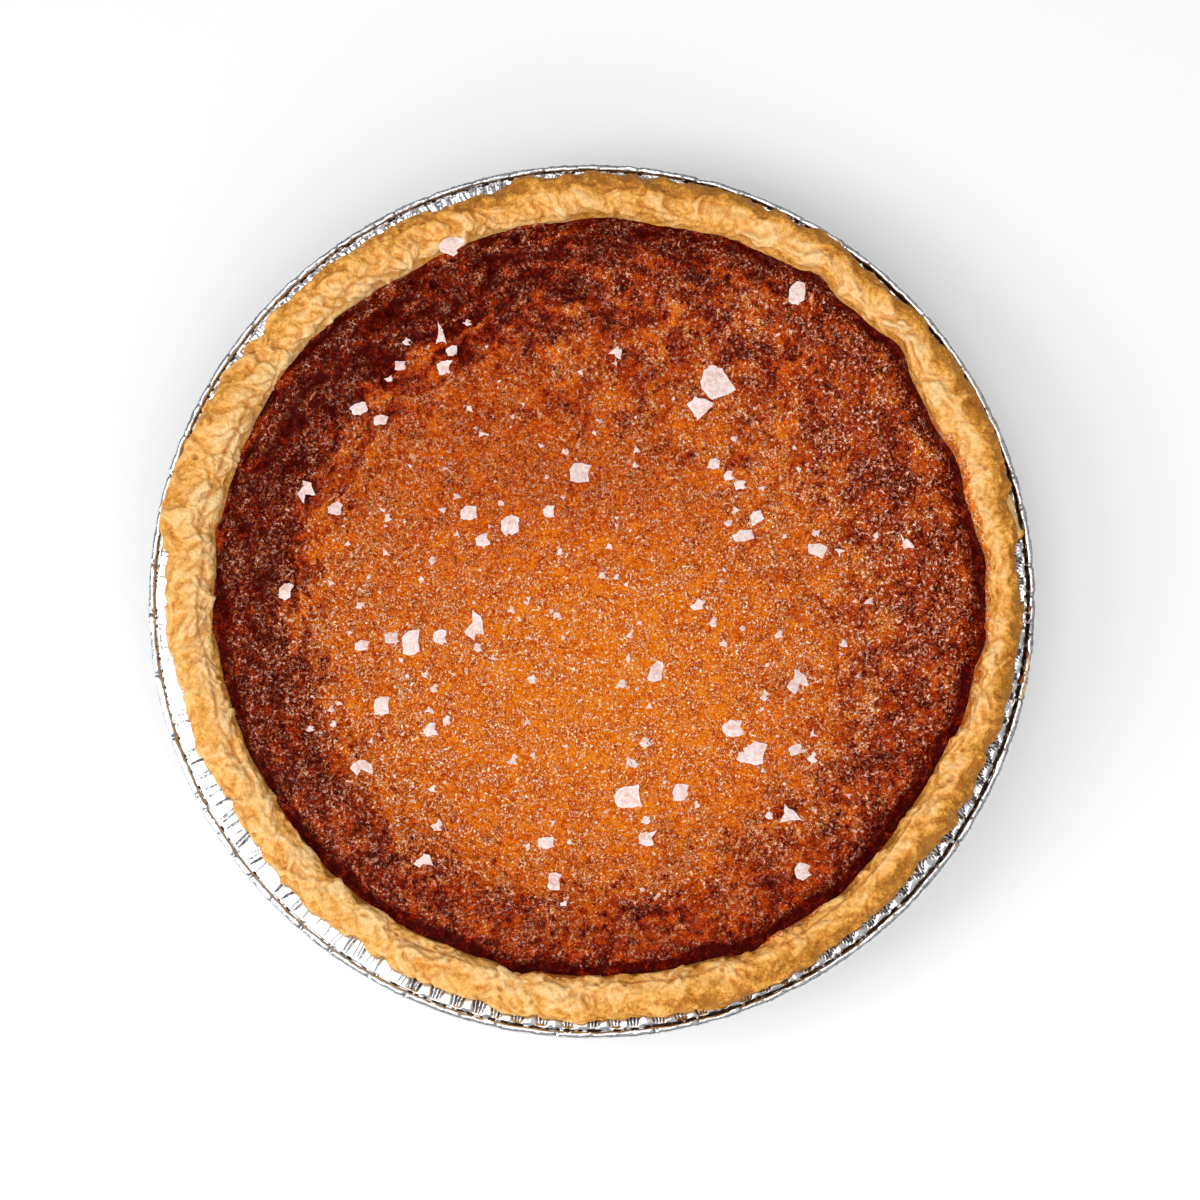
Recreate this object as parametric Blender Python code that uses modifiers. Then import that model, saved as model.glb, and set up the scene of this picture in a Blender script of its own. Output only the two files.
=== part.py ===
"""Round honey pie in the pressed foil tin it was baked in.

Three pieces nest inside each other: the foil tin with its pleated wall, flange and rolled
edge; the pastry case, whose thick hand-shaped edge lies on the tin's flange; and the baked
honey filling, puffed up into a ring beside the pastry and sunken in the middle.

Lengths are metres with +Z up. The origin is the middle of the tin's underside, +X is the
right-hand side of the pie and +Y its far side.
"""

import math

import bpy

MM = 0.001

# ---------------------------------------------------------------- driving dimensions

TURN_STEPS = 84
GAP = 0.30 * MM

TIN_RIM_RADIUS = 122.5 * MM
TIN_MOUTH_RADIUS = 111.0 * MM
TIN_BASE_RADIUS = 93.5 * MM
TIN_DEPTH = 30.0 * MM
TIN_CORNER = 5.0 * MM
FOIL = 0.35 * MM
ROLL_RADIUS = 1.0 * MM
FLANGE_SLOPE = 0.06
PLEAT_DEPTH = 0.8 * MM

PASTRY_WALL = 5.0 * MM
LIP_MIDDLE_RADIUS = 112.0 * MM
LIP_HALF_WIDTH = 5.9 * MM
LIP_LEVEL = 34.4 * MM
LIP_HALF_HEIGHT = 4.8 * MM
LIP_UNDERSIDE_RADIUS = 116.0 * MM

FILLING_EDGE_LEVEL = 33.2 * MM
FILLING_RING_RADIUS = 96.0 * MM
FILLING_RING_LEVEL = 34.4 * MM
FILLING_HOLLOW_RADIUS = 66.0 * MM
FILLING_HOLLOW_LEVEL = 30.3 * MM
FILLING_MIDDLE_LEVEL = 29.4 * MM

# Where hands pushed the pastry edge out or in. Each entry is a bearing from +X towards +Y
# and a spread, both in degrees, and a distance in millimetres.
LIP_OUTSIDE = (
    (20, 13, 2.0),
    (54, 19, 1.9),
    (85, 12, 1.0),
    (109, 8, -1.5),
    (150, 10, 1.0),
    (168, 5, 2.6),
    (208, 20, -2.7),
    (242, 14, -1.9),
    (290, 12, 0.7),
    (326, 12, -1.0),
)
LIP_INSIDE = (
    (2, 11, 2.2),
    (40, 9, 2.7),
    (57, 10, 2.1),
    (119, 10, -1.8),
    (180, 24, -1.9),
    (212, 16, -1.6),
    (252, 7, -0.9),
    (302, 14, 0.9),
    (351, 9, 1.3),
)
LIP_HEIGHT = (
    (15, 14, 0.9),
    (62, 16, -0.6),
    (98, 14, 0.7),
    (140, 12, -0.7),
    (171, 10, 0.9),
    (215, 20, -0.6),
    (258, 12, 0.6),
    (300, 10, -0.6),
    (331, 10, 0.7),
)
# Finger marks left along the edge: how many go round, how deep in millimetres, and the
# bearing in degrees at which each row starts.
LIP_MARKS = ((11, 0.38, 14), (17, 0.40, 61), (25, 0.32, 133))


# ---------------------------------------------------------------- shaping helpers


def ease(value, start, end):
    """Goes smoothly from 0 at start to 1 at end."""
    share = min(max((value - start) / (end - start), 0.0), 1.0)
    return share * share * (3.0 - 2.0 * share)


def bulge(bearing, bumps):
    """Adds up the bumps felt at a bearing in radians, in metres."""
    total = 0.0
    for middle, spread, size in bumps:
        away = (math.degrees(bearing) - middle + 180.0) % 360.0 - 180.0
        total += size * math.exp(-((away / spread) ** 2))
    return total * MM


def finger_marks(bearing, side):
    """Small uneven waves along the pastry edge, in metres; side shifts one row against another."""
    total = 0.0
    for count, depth, start in LIP_MARKS:
        total += depth * math.cos(count * (bearing - math.radians(start)) + side)
    return total * MM


def wall_point(inset, level):
    """A point (radius, height) of the sloping wall at a height, moved in from the tin's outside."""
    run = TIN_MOUTH_RADIUS - TIN_BASE_RADIUS
    level_inset = inset * math.hypot(run, TIN_DEPTH) / TIN_DEPTH
    return TIN_BASE_RADIUS + run * level / TIN_DEPTH - level_inset, level


def cup_line(inset, corner, levels):
    """Half of a cup's section from its axis out and up, inset from the tin's outside.

    The corner between floor and wall is cut off in two steps, and the wall has a point at
    each of the levels.
    """
    fold = wall_point(inset, inset)[0]
    return [
        (0.0, inset),
        (fold - corner, inset),
        (fold - 0.2 * corner, inset + 0.2 * corner),
        wall_point(inset, inset + 0.8 * corner),
    ] + [wall_point(inset, level) for level in levels]


def flange_level(radius):
    """Height of the flange's underside."""
    return TIN_DEPTH + FLANGE_SLOPE * (radius - TIN_MOUTH_RADIUS)


# ---------------------------------------------------------------- mesh helpers


def turned(name, profile):
    """Turns a profile of (radius, height) points round +Z and returns the finished mesh."""
    line = bpy.data.meshes.new(name + "_profile")
    points = [(radius, 0.0, height) for radius, height in profile]
    line.from_pydata(points, [(i, i + 1) for i in range(len(points) - 1)], [])
    holder = bpy.data.objects.new(name + "_profile", line)
    bpy.context.scene.collection.objects.link(holder)
    screw = holder.modifiers.new("Turn", "SCREW")
    screw.axis = "Z"
    screw.angle = 2.0 * math.pi
    screw.steps = TURN_STEPS
    screw.render_steps = TURN_STEPS
    screw.use_merge_vertices = True
    screw.merge_threshold = 0.00001
    depsgraph = bpy.context.evaluated_depsgraph_get()
    mesh = bpy.data.meshes.new_from_object(holder.evaluated_get(depsgraph))
    mesh.name = name
    bpy.data.objects.remove(holder)
    bpy.data.meshes.remove(line)
    return mesh


def reshape(mesh, move):
    """Moves each vertex: move takes and gives a radius, a bearing in radians and a height."""
    for vertex in mesh.vertices:
        x, y, z = vertex.co
        radius, bearing, height = move(math.hypot(x, y), math.atan2(y, x), z)
        vertex.co = (radius * math.cos(bearing), radius * math.sin(bearing), height)


def finish_material(name, colour, roughness, metallic=0.0):
    """A Principled material with one colour."""
    material = bpy.data.materials.new(name)
    material.use_nodes = True
    shader = material.node_tree.nodes["Principled BSDF"]
    shader.inputs["Base Color"].default_value = (*colour, 1.0)
    shader.inputs["Roughness"].default_value = roughness
    shader.inputs["Metallic"].default_value = metallic
    return material


def place(mesh, collection, material, crease_degrees):
    """Links a mesh as an object of its own name, smooth except across sharp creases."""
    piece = bpy.data.objects.new(mesh.name, mesh)
    collection.objects.link(piece)
    mesh.materials.append(material)
    mesh.shade_smooth()
    mesh.set_sharp_from_angle(angle=math.radians(crease_degrees))
    return piece


# ---------------------------------------------------------------- foil tin


def tin_profile():
    """The foil's outside from the end of the rolled edge down to the middle of the base."""
    wall = cup_line(0.0, TIN_CORNER, (8.5 * MM, 23.5 * MM, TIN_DEPTH - 1.2 * MM))
    roll_centre = TIN_RIM_RADIUS - FOIL - ROLL_RADIUS
    flange_end = roll_centre - ROLL_RADIUS
    profile = wall + [
        (TIN_MOUTH_RADIUS + 1.3 * MM, flange_level(TIN_MOUTH_RADIUS + 1.3 * MM)),
        (flange_end, flange_level(flange_end)),
    ]
    for turn_degrees in (125, 80, 40, 0, -45):
        turn = math.radians(turn_degrees)
        profile.append(
            (
                roll_centre + ROLL_RADIUS * math.cos(turn),
                flange_level(flange_end) + ROLL_RADIUS * math.sin(turn),
            )
        )
    return profile[::-1]


def pleat_tin(radius, bearing, height):
    """Pushes every second line of the wall outwards, fading out at the base and the flange."""
    fade = ease(height, 2.0 * MM, 7.0 * MM) * (1.0 - ease(height, 25.0 * MM, 29.5 * MM))
    pleats = 0.5 - 0.5 * math.cos(bearing * TURN_STEPS / 2)
    return radius + PLEAT_DEPTH * pleats * fade, bearing, height


def make_tin(collection):
    """The foil tin: one thin shell."""
    mesh = turned("foil_tin", tin_profile())
    reshape(mesh, pleat_tin)
    foil = finish_material("foil", (0.83, 0.83, 0.84), 0.28, 1.0)
    tin = place(mesh, collection, foil, 50)
    shell = tin.modifiers.new("Foil thickness", "SOLIDIFY")
    shell.thickness = FOIL
    shell.offset = -1.0
    shell.use_even_offset = False
    return tin


# ---------------------------------------------------------------- pastry and filling


def knead(radius, bearing, height):
    """Takes a point of the turned pastry, or of the filling inside it, to the hand-shaped form."""
    wall_radius = wall_point(FOIL + GAP + PASTRY_WALL, height)[0]
    inside_end = min(wall_radius + 1.0 * MM, LIP_MIDDLE_RADIUS - 3.5 * MM)
    inside = 1.0 - ease(radius, inside_end, inside_end + 4.0 * MM)
    inside *= ease(radius, 70.0 * MM, 92.0 * MM) * ease(height, 12.0 * MM, 26.0 * MM)
    outside = ease(radius, 111.0 * MM, 116.5 * MM)
    above_flange = ease(height, 31.0 * MM, 33.5 * MM)
    above_ledge = ease(height, 34.0 * MM, 39.0 * MM)
    above_filling = ease(height, FILLING_EDGE_LEVEL, FILLING_EDGE_LEVEL + 3.0 * MM)
    moved = inside * bulge(bearing, LIP_INSIDE)
    moved += inside * above_filling * finger_marks(bearing, 0.0)
    moved += outside * (0.35 + 0.65 * above_flange) * bulge(bearing, LIP_OUTSIDE)
    moved += outside * above_flange * finger_marks(bearing, 2.1)
    lift = above_ledge * (bulge(bearing, LIP_HEIGHT) + finger_marks(bearing, 4.0))
    return radius + moved, bearing, height + lift


def pastry_profile():
    """From the middle of the case's floor, up inside, over the edge and back under the case."""
    inside_levels = (12.0 * MM, 26.0 * MM, FILLING_EDGE_LEVEL - 1.0 * MM)
    inside_wall = cup_line(FOIL + GAP + PASTRY_WALL, 3.0 * MM, inside_levels)
    outside_wall = cup_line(FOIL + GAP, TIN_CORNER, (TIN_DEPTH - 0.9 * MM,))
    profile = list(inside_wall)
    for turn_degrees in (172, 146, 120, 94, 68, 42, 16, -12):
        turn = math.radians(turn_degrees)
        profile.append(
            (
                LIP_MIDDLE_RADIUS + LIP_HALF_WIDTH * math.cos(turn),
                LIP_LEVEL + LIP_HALF_HEIGHT * math.sin(turn),
            )
        )
    over_flange = FOIL + 1.3 * GAP
    flange_start = TIN_MOUTH_RADIUS + 1.2 * MM
    profile += [
        (LIP_UNDERSIDE_RADIUS, flange_level(LIP_UNDERSIDE_RADIUS) + over_flange),
        (flange_start, flange_level(flange_start) + over_flange),
    ]
    return profile + outside_wall[::-1]


def make_pastry(collection):
    """The pastry case, one solid with its thick edge."""
    mesh = turned("pastry_case", pastry_profile())
    reshape(mesh, knead)
    crust = finish_material("baked_pastry", (0.78, 0.43, 0.17), 0.62)
    return place(mesh, collection, crust, 70)


def filling_profile():
    """From the sunken middle out over the puffed ring to the pastry, then down and back below."""
    levels = (12.0 * MM, 26.0 * MM, FILLING_EDGE_LEVEL - 1.0 * MM)
    wall = cup_line(FOIL + 2 * GAP + PASTRY_WALL, 3.0 * MM, levels)
    edge_radius = wall[-1][0]
    return [
        (0.0, FILLING_MIDDLE_LEVEL),
        (0.5 * FILLING_HOLLOW_RADIUS, 0.7 * FILLING_MIDDLE_LEVEL + 0.3 * FILLING_HOLLOW_LEVEL),
        (FILLING_HOLLOW_RADIUS, FILLING_HOLLOW_LEVEL),
        (
            0.4 * FILLING_HOLLOW_RADIUS + 0.6 * FILLING_RING_RADIUS,
            0.45 * FILLING_HOLLOW_LEVEL + 0.55 * FILLING_RING_LEVEL,
        ),
        (0.98 * FILLING_RING_RADIUS, FILLING_RING_LEVEL - 0.1 * MM),
        (0.35 * FILLING_RING_RADIUS + 0.65 * edge_radius, FILLING_RING_LEVEL - 0.4 * MM),
        (edge_radius - 0.9 * MM, FILLING_EDGE_LEVEL - 0.2 * MM),
    ] + wall[::-1]


def make_filling(collection):
    """The honey filling, one solid down to the floor of the case."""
    mesh = turned("honey_filling", filling_profile())
    reshape(mesh, knead)
    honey = finish_material("baked_honey", (0.42, 0.10, 0.012), 0.22)
    return place(mesh, collection, honey, 60)


# ---------------------------------------------------------------- the whole pie


def clear_scene():
    """Empties the scene the script starts in."""
    for thing in list(bpy.data.objects):
        bpy.data.objects.remove(thing)


def main():
    """Builds the three pieces under one empty."""
    clear_scene()
    collection = bpy.data.collections.new("honey_pie")
    bpy.context.scene.collection.children.link(collection)
    base = bpy.data.objects.new("pie_origin", None)
    collection.objects.link(base)
    for make in (make_tin, make_pastry, make_filling):
        make(collection).parent = base


main()
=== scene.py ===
"""Looks of a salty honey pie in its own foil tin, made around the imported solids.

Lengths in the classes are in millimetres and bearings in radians, counted round the pie from
+X towards +Y. MM turns millimetres into metres when a mesh, a lamp or the camera is made.
"""

from __future__ import annotations

import logging
import math
from dataclasses import dataclass, field
from enum import Enum
from typing import Any, Callable, Sequence

import bmesh
import bpy
import numpy as np
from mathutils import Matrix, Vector
from mathutils.bvhtree import BVHTree

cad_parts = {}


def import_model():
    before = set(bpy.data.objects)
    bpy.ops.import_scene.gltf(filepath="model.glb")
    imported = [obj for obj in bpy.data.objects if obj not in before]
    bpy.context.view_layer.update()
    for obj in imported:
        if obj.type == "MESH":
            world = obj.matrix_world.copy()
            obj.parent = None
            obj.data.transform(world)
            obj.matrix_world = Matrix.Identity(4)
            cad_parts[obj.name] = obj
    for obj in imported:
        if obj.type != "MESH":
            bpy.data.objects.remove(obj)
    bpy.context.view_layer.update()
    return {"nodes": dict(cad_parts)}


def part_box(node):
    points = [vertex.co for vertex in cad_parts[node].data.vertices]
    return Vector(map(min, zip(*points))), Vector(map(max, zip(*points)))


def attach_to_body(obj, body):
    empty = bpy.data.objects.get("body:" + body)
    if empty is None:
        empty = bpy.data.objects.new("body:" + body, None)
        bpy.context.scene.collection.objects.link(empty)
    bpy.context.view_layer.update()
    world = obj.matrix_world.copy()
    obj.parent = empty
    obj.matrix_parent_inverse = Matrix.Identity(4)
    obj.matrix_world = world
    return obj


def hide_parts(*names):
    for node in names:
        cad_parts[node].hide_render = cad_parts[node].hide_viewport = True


MM = 0.001
FULL_TURN = 2.0 * math.pi

Array = np.ndarray
Colour = tuple[float, float, float]
Ground = Callable[[Array, Array], Array]
Material = bpy.types.Material
Object = bpy.types.Object
Section = tuple[tuple[float, float], ...]
Socket = bpy.types.NodeSocket
log = logging.getLogger("honey_pie")


def paint(red: int, green: int, blue: int) -> Colour:
    """Turns a screen colour into the linear colour that a shader takes.

    Args:
        red: Red, 0 to 255.
        green: Green, 0 to 255.
        blue: Blue, 0 to 255.

    Returns:
        The linear red, green and blue, 0 to 1.
    """
    shares = [channel / 255.0 for channel in (red, green, blue)]
    linear = [s / 12.92 if s <= 0.04045 else ((s + 0.055) / 1.055) ** 2.4 for s in shares]
    return (linear[0], linear[1], linear[2])


def ease(low: float, high: float, value: Array) -> Array:
    """Rises smoothly from 0 where the value is low to 1 where it is high, or falls if high is less."""
    share = np.clip((value - low) / (high - low), 0.0, 1.0)
    return share * share * (3.0 - 2.0 * share)


def hump(bearing: Array, middle_deg: float, spread_deg: float) -> Array:
    """Rises smoothly to 1 round one bearing; the spread is half the width at 0.6 of the height."""
    away = np.angle(np.exp(1j * (bearing - math.radians(middle_deg))))
    return np.exp(-0.5 * (away / math.radians(spread_deg)) ** 2)


def humps(bearing: Array, *tops: tuple[float, float, float]) -> Array:
    """Adds up humps, each given by its height and by its middle and spread in degrees."""
    return sum(height * hump(bearing, middle, spread) for height, middle, spread in tops)


def bearings(count: int) -> Array:
    """Even bearings round a full turn, the first one at 0."""
    return np.arange(count) * (FULL_TURN / count)


def round_pie(radius: float | Array, turns: Array, level: float | Array) -> Array:
    """Places round the pie, with x, y and z last."""
    rows = np.broadcast_arrays(radius * np.cos(turns), radius * np.sin(turns), level)
    return np.stack(rows, axis=-1)


def outskirts(grid: Array) -> Array:
    """The outer numbers of a flat grid, once round."""
    return np.concatenate([grid[:-1, 0], grid[-1, :-1], grid[:0:-1, -1], grid[0, :0:-1]])


@dataclass
class Grain:
    """Seeded noise on a plane, which can repeat after a whole number of cells.

    Attributes:
        seed: Picks the pattern.
        size: Length of the shuffled table that scrambles the cells.
    """

    seed: int
    size: int = 4096
    table: Array = field(init=False, repr=False)
    spots: Array = field(init=False, repr=False)

    def __post_init__(self) -> None:
        """Shuffles the table and throws one random point for each of its entries."""
        draw = np.random.default_rng(self.seed)
        self.table = draw.permutation(self.size)
        self.spots = draw.random((self.size, 3))

    def entry(self, column: Array, row: Array, wrap: int) -> Array:
        """Table entry of each cell.

        Args:
            column: Whole cell numbers along the first direction.
            row: Whole cell numbers along the second direction.
            wrap: Cells after which the first direction repeats, or 0.

        Returns:
            One table index for each cell.
        """
        if wrap:
            column = column % wrap
        return self.table[(self.table[column % self.size] + row) % self.size]

    def smooth(self, along: Array, across: Array, wrap: int = 0) -> Array:
        """Soft hills and hollows, one cell wide.

        Args:
            along: Place along the first direction, in cells.
            across: Place along the second direction, in cells.
            wrap: Cells after which the first direction repeats, or 0.

        Returns:
            Heights of about -1 to 1.
        """
        along, across = np.broadcast_arrays(along, across)
        column = np.floor(along).astype(int)
        row = np.floor(across).astype(int)
        part_u = along - column
        part_v = across - row
        blend_u = part_u**3 * (part_u * (part_u * 6 - 15) + 10)
        blend_v = part_v**3 * (part_v * (part_v * 6 - 15) + 10)
        total = np.zeros(along.shape)
        for step_u in (0, 1):
            for step_v in (0, 1):
                turn = self.spots[self.entry(column + step_u, row + step_v, wrap), 0] * FULL_TURN
                slope = np.cos(turn) * (part_u - step_u) + np.sin(turn) * (part_v - step_v)
                weight_u = blend_u if step_u else 1 - blend_u
                weight_v = blend_v if step_v else 1 - blend_v
                total += slope * weight_u * weight_v
        return total * 1.5

    def layers(self, along: Array, across: Array, octaves: int, wrap: int = 0) -> Array:
        """Soft noise with finer and weaker copies of it on top.

        Args:
            along: Place along the first direction, in cells.
            across: Place along the second direction, in cells.
            octaves: Number of copies, each half the size and height of the last.
            wrap: Cells after which the first direction repeats, or 0.

        Returns:
            Heights of about -1.5 to 1.5.
        """
        total = np.zeros(np.broadcast(along, across).shape)
        for octave in range(octaves):
            scale = 2**octave
            shift = 17.3 * octave
            total += self.smooth(along * scale, across * scale + shift, wrap * scale) / scale
        return total

    def around(self, turns: Array, cells: int, octaves: int, across: float = 0.5) -> Array:
        """Soft noise round the pie, which repeats after a full turn of so many cells."""
        return self.layers(turns / FULL_TURN * cells, across, octaves, cells)

    def cells(self, along: Array, across: Array, wrap: int = 0) -> tuple[Array, Array, Array]:
        """Irregular cells round scattered points.

        Args:
            along: Place along the first direction, in cells.
            across: Place along the second direction, in cells.
            wrap: Cells after which the first direction repeats, or 0.

        Returns:
            Distance to the nearest point, distance to the next, and the nearest one's lot, 0 to 1.
        """
        along, across = np.broadcast_arrays(along, across)
        column = np.floor(along).astype(int)
        row = np.floor(across).astype(int)
        nearest = np.full(along.shape, 9.0)
        second = np.full(along.shape, 9.0)
        lot = np.zeros(along.shape)
        for step_u in (-1, 0, 1):
            for step_v in (-1, 0, 1):
                entry = self.entry(column + step_u, row + step_v, wrap)
                aside = column + step_u + self.spots[entry, 0] - along
                ahead = row + step_v + self.spots[entry, 1] - across
                distance = np.hypot(aside, ahead)
                closer = distance < nearest
                second = np.where(closer, nearest, np.minimum(second, distance))
                lot = np.where(closer, self.spots[entry, 2], lot)
                nearest = np.where(closer, distance, nearest)
        return nearest, second, lot


class Skin:
    """Points, faces and marks of one piece, gathered before its mesh is made."""

    def __init__(self) -> None:
        """Starts with nothing gathered."""
        self.points: list[Array] = []
        self.marks: list[dict[str, Array]] = []
        self.faces: list[list[int]] = []
        self.count = 0

    def add(self, points: Array, **marks: float | Array) -> Array:
        """Adds points, in millimetres.

        Args:
            points: Places, with x, y and z last.
            **marks: Named values for each point that its material reads.

        Returns:
            The points' numbers, in the shape that they came in.
        """
        shape = points.shape[:-1]
        self.points.append(points.reshape(-1, 3))
        spread = {name: np.broadcast_to(mark, shape).ravel() for name, mark in marks.items()}
        self.marks.append(spread)
        numbers = np.arange(self.count, self.count + int(np.prod(shape))).reshape(shape)
        self.count += numbers.size
        return numbers

    def band(self, near: Array, far: Array) -> None:
        """Joins two closed rows of points, of which one may be a whole number of times finer.

        Args:
            near: Numbers of the one row.
            far: Numbers of the other row.
        """
        steps = min(len(near), len(far))
        sides = []
        for row in (near, far):
            stride = len(row) // steps
            places = (np.arange(steps)[:, None] * stride + np.arange(stride + 1)) % len(row)
            sides.append(row[places])
        self.faces += np.hstack([sides[0], sides[1][:, ::-1]]).tolist()

    def bands(self, rows: Sequence[Array]) -> None:
        """Joins each closed row of points to the next."""
        for near, far in zip(rows, rows[1:]):
            self.band(near, far)

    def cap(self, row: Array) -> None:
        """Closes a row of points with one face."""
        self.faces.append(row.tolist())

    def fan(self, row: Array, level: float, **marks: float | Array) -> None:
        """Closes a row of points with a fan round a new one, which is on the pie's axis.

        Args:
            row: Numbers of the row.
            level: The new point's level.
            **marks: The new point's named values.
        """
        tip = self.add(np.array([[0.0, 0.0, level]]), **marks)
        self.faces += np.column_stack([row, np.roll(row, -1), tip.repeat(len(row))]).tolist()

    def sheet(self, numbers: Array) -> None:
        """Joins a flat grid of points into four-sided faces."""
        corners = [numbers[:-1, :-1], numbers[1:, :-1], numbers[1:, 1:], numbers[:-1, 1:]]
        self.faces += np.stack([corner.ravel() for corner in corners], axis=1).tolist()

    def make(self, name: str, material: Material, crease_deg: float = 0.0) -> Object:
        """Makes the object, shaded smooth, with its faces pointing out.

        Args:
            name: The object's name.
            material: Its material.
            crease_deg: Edges folded by more than this stay sharp; 0 keeps none.

        Returns:
            The new object, in the scene.
        """
        mesh = bpy.data.meshes.new(name)
        mesh.from_pydata((np.concatenate(self.points) * MM).tolist(), [], self.faces)
        work = bmesh.new()
        work.from_mesh(mesh)
        bmesh.ops.recalc_face_normals(work, faces=work.faces[:])
        work.to_mesh(mesh)
        work.free()
        for mark in self.marks[0]:
            values = np.concatenate([group[mark] for group in self.marks])
            attribute = mesh.attributes.new(mark, "FLOAT", "POINT")
            attribute.data.foreach_set("value", values.astype(np.float32))
        mesh.shade_smooth()
        if crease_deg:
            mesh.set_sharp_from_angle(angle=math.radians(crease_deg))
        mesh.materials.append(material)
        piece = bpy.data.objects.new(name, mesh)
        bpy.context.scene.collection.objects.link(piece)
        return piece


class Shading:
    """One material's node tree, with short ways to add its nodes."""

    def __init__(self, name: str) -> None:
        """Starts a material with a Principled shader.

        Args:
            name: The material's name.
        """
        self.material = bpy.data.materials.new(name)
        self.material.use_nodes = True
        self.tree = self.material.node_tree
        self.shader = self.tree.nodes["Principled BSDF"]

    def add(self, kind: str, inputs: dict[Any, Any], **settings: Any) -> bpy.types.Node:
        """Adds a node.

        Args:
            kind: The node's type.
            inputs: What each socket, by name or number, is linked to or holds.
            **settings: The node's own settings.

        Returns:
            The new node.
        """
        node = self.tree.nodes.new(kind)
        for setting, value in settings.items():
            setattr(node, setting, value)
        for socket, value in inputs.items():
            self.feed(node.inputs[socket], value)
        return node

    def feed(self, socket: Socket, value: Any) -> None:
        """Links a socket to another, or gives it a number, colour or vector.

        Args:
            socket: The socket to feed.
            value: A socket to read from, or a value to hold.
        """
        if isinstance(value, Socket):
            self.tree.links.new(value, socket)
        elif socket.type == "RGBA":
            socket.default_value = (*value, 1.0)
        else:
            socket.default_value = value

    def mark(self, name: str) -> Socket:
        """Reads one of the mesh's marks."""
        return self.add("ShaderNodeAttribute", {}, attribute_name=name).outputs["Fac"]

    def place(self) -> Socket:
        """Reads the point's place in the object."""
        return self.add("ShaderNodeTexCoord", {}).outputs["Object"]

    def stretch(self, place: Any, scale: Sequence[float]) -> Socket:
        """Scales a place by one factor for each direction."""
        node = self.add("ShaderNodeVectorMath", {0: place, 1: tuple(scale)}, operation="MULTIPLY")
        return node.outputs["Vector"]

    def noise(self, place: Any, size: float, detail: float = 2.0, twist: float = 0.0) -> Socket:
        """Soft noise, 0 to 1, with its largest lumps' size in millimetres."""
        inputs = {"Vector": place, "Scale": 1.0 / (size * MM), "Detail": detail, "Distortion": twist}
        return self.add("ShaderNodeTexNoise", inputs).outputs["Fac"]

    def bubbles(self, place: Any, size: float, feature: str = "F1") -> Socket:
        """Distance from the middle of scattered cells, in cells of a size in millimetres."""
        inputs = {"Vector": place, "Scale": 1.0 / (size * MM)}
        return self.add("ShaderNodeTexVoronoi", inputs, feature=feature).outputs["Distance"]

    def math(self, operation: str, first: Any, second: Any = 0.0, third: Any = 0.0) -> Socket:
        """Works out one sum, named as the Math node names it."""
        node = self.add("ShaderNodeMath", {0: first, 1: second, 2: third}, operation=operation)
        return node.outputs["Value"]

    def times(self, first: Any, *others: Any) -> Socket:
        """Multiplies values."""
        for other in others:
            first = self.math("MULTIPLY", first, other)
        return first

    def most(self, first: Any, *others: Any) -> Socket:
        """Keeps the greatest of some values."""
        for other in others:
            first = self.math("MAXIMUM", first, other)
        return first

    def swing(self, noise: Any) -> Socket:
        """How far a noise swings from its middle, to either side."""
        return self.math("SUBTRACT", noise, 0.5)

    def sway(self, noise: Any, amount: float, value: Any) -> Socket:
        """Raises and lowers a value by an amount of a noise's swing."""
        return self.math("MULTIPLY_ADD", self.swing(noise), amount, value)

    def between(
        self, value: Any, low: Any, high: Any, start: float = 0.0, end: float = 1.0
    ) -> Socket:
        """Turns a range of values into another, smoothly and without overshoot.

        Args:
            value: The value to turn.
            low: Value that gives start.
            high: Value that gives end.
            start: Result at low.
            end: Result at high.

        Returns:
            The result.
        """
        inputs = {"Value": value, "From Min": low, "From Max": high, "To Min": start, "To Max": end}
        node = self.add("ShaderNodeMapRange", inputs, interpolation_type="SMOOTHSTEP")
        return node.outputs["Result"]

    def blend(self, share: Any, first: Any, second: Any) -> Socket:
        """Mixes two colours.

        Args:
            share: How much of the second colour shows.
            first: First colour.
            second: Second colour.

        Returns:
            The mixed colour.
        """
        node = self.add("ShaderNodeMix", {}, data_type="RGBA")
        self.feed(node.inputs[0], share)
        self.feed(node.inputs[6], first)
        self.feed(node.inputs[7], second)
        return node.outputs[2]

    def ramp(self, value: Any, stops: Sequence[tuple[float, Colour]]) -> Socket:
        """Colours a value by stops.

        Args:
            value: The value to colour, 0 to 1.
            stops: Each stop's place and colour, in rising order.

        Returns:
            The colour.
        """
        node = self.add("ShaderNodeValToRGB", {0: value})
        elements = node.color_ramp.elements
        while len(elements) < len(stops):
            elements.new(0.5)
        for element, (position, colour) in zip(elements, stops):
            element.position = position
            element.color = (*colour, 1.0)
        return node.outputs["Color"]

    def relief(self, height: Any, depth: float, under: Any = None) -> Socket:
        """Bends the shading by a height.

        Args:
            height: The height, 0 to 1.
            depth: How high 1 stands, in millimetres.
            under: Shading that it lies on, if any.

        Returns:
            The bent normal.
        """
        inputs = {"Height": height, "Distance": depth * MM, "Strength": 1.0}
        if under is not None:
            inputs["Normal"] = under
        return self.add("ShaderNodeBump", inputs).outputs["Normal"]

    def finish(self, **inputs: Any) -> Material:
        """Feeds the shader's sockets, named with _ for spaces, and gives the material."""
        for name, value in inputs.items():
            self.feed(self.shader.inputs[name.replace("_", " ")], value)
        return self.material


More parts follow.
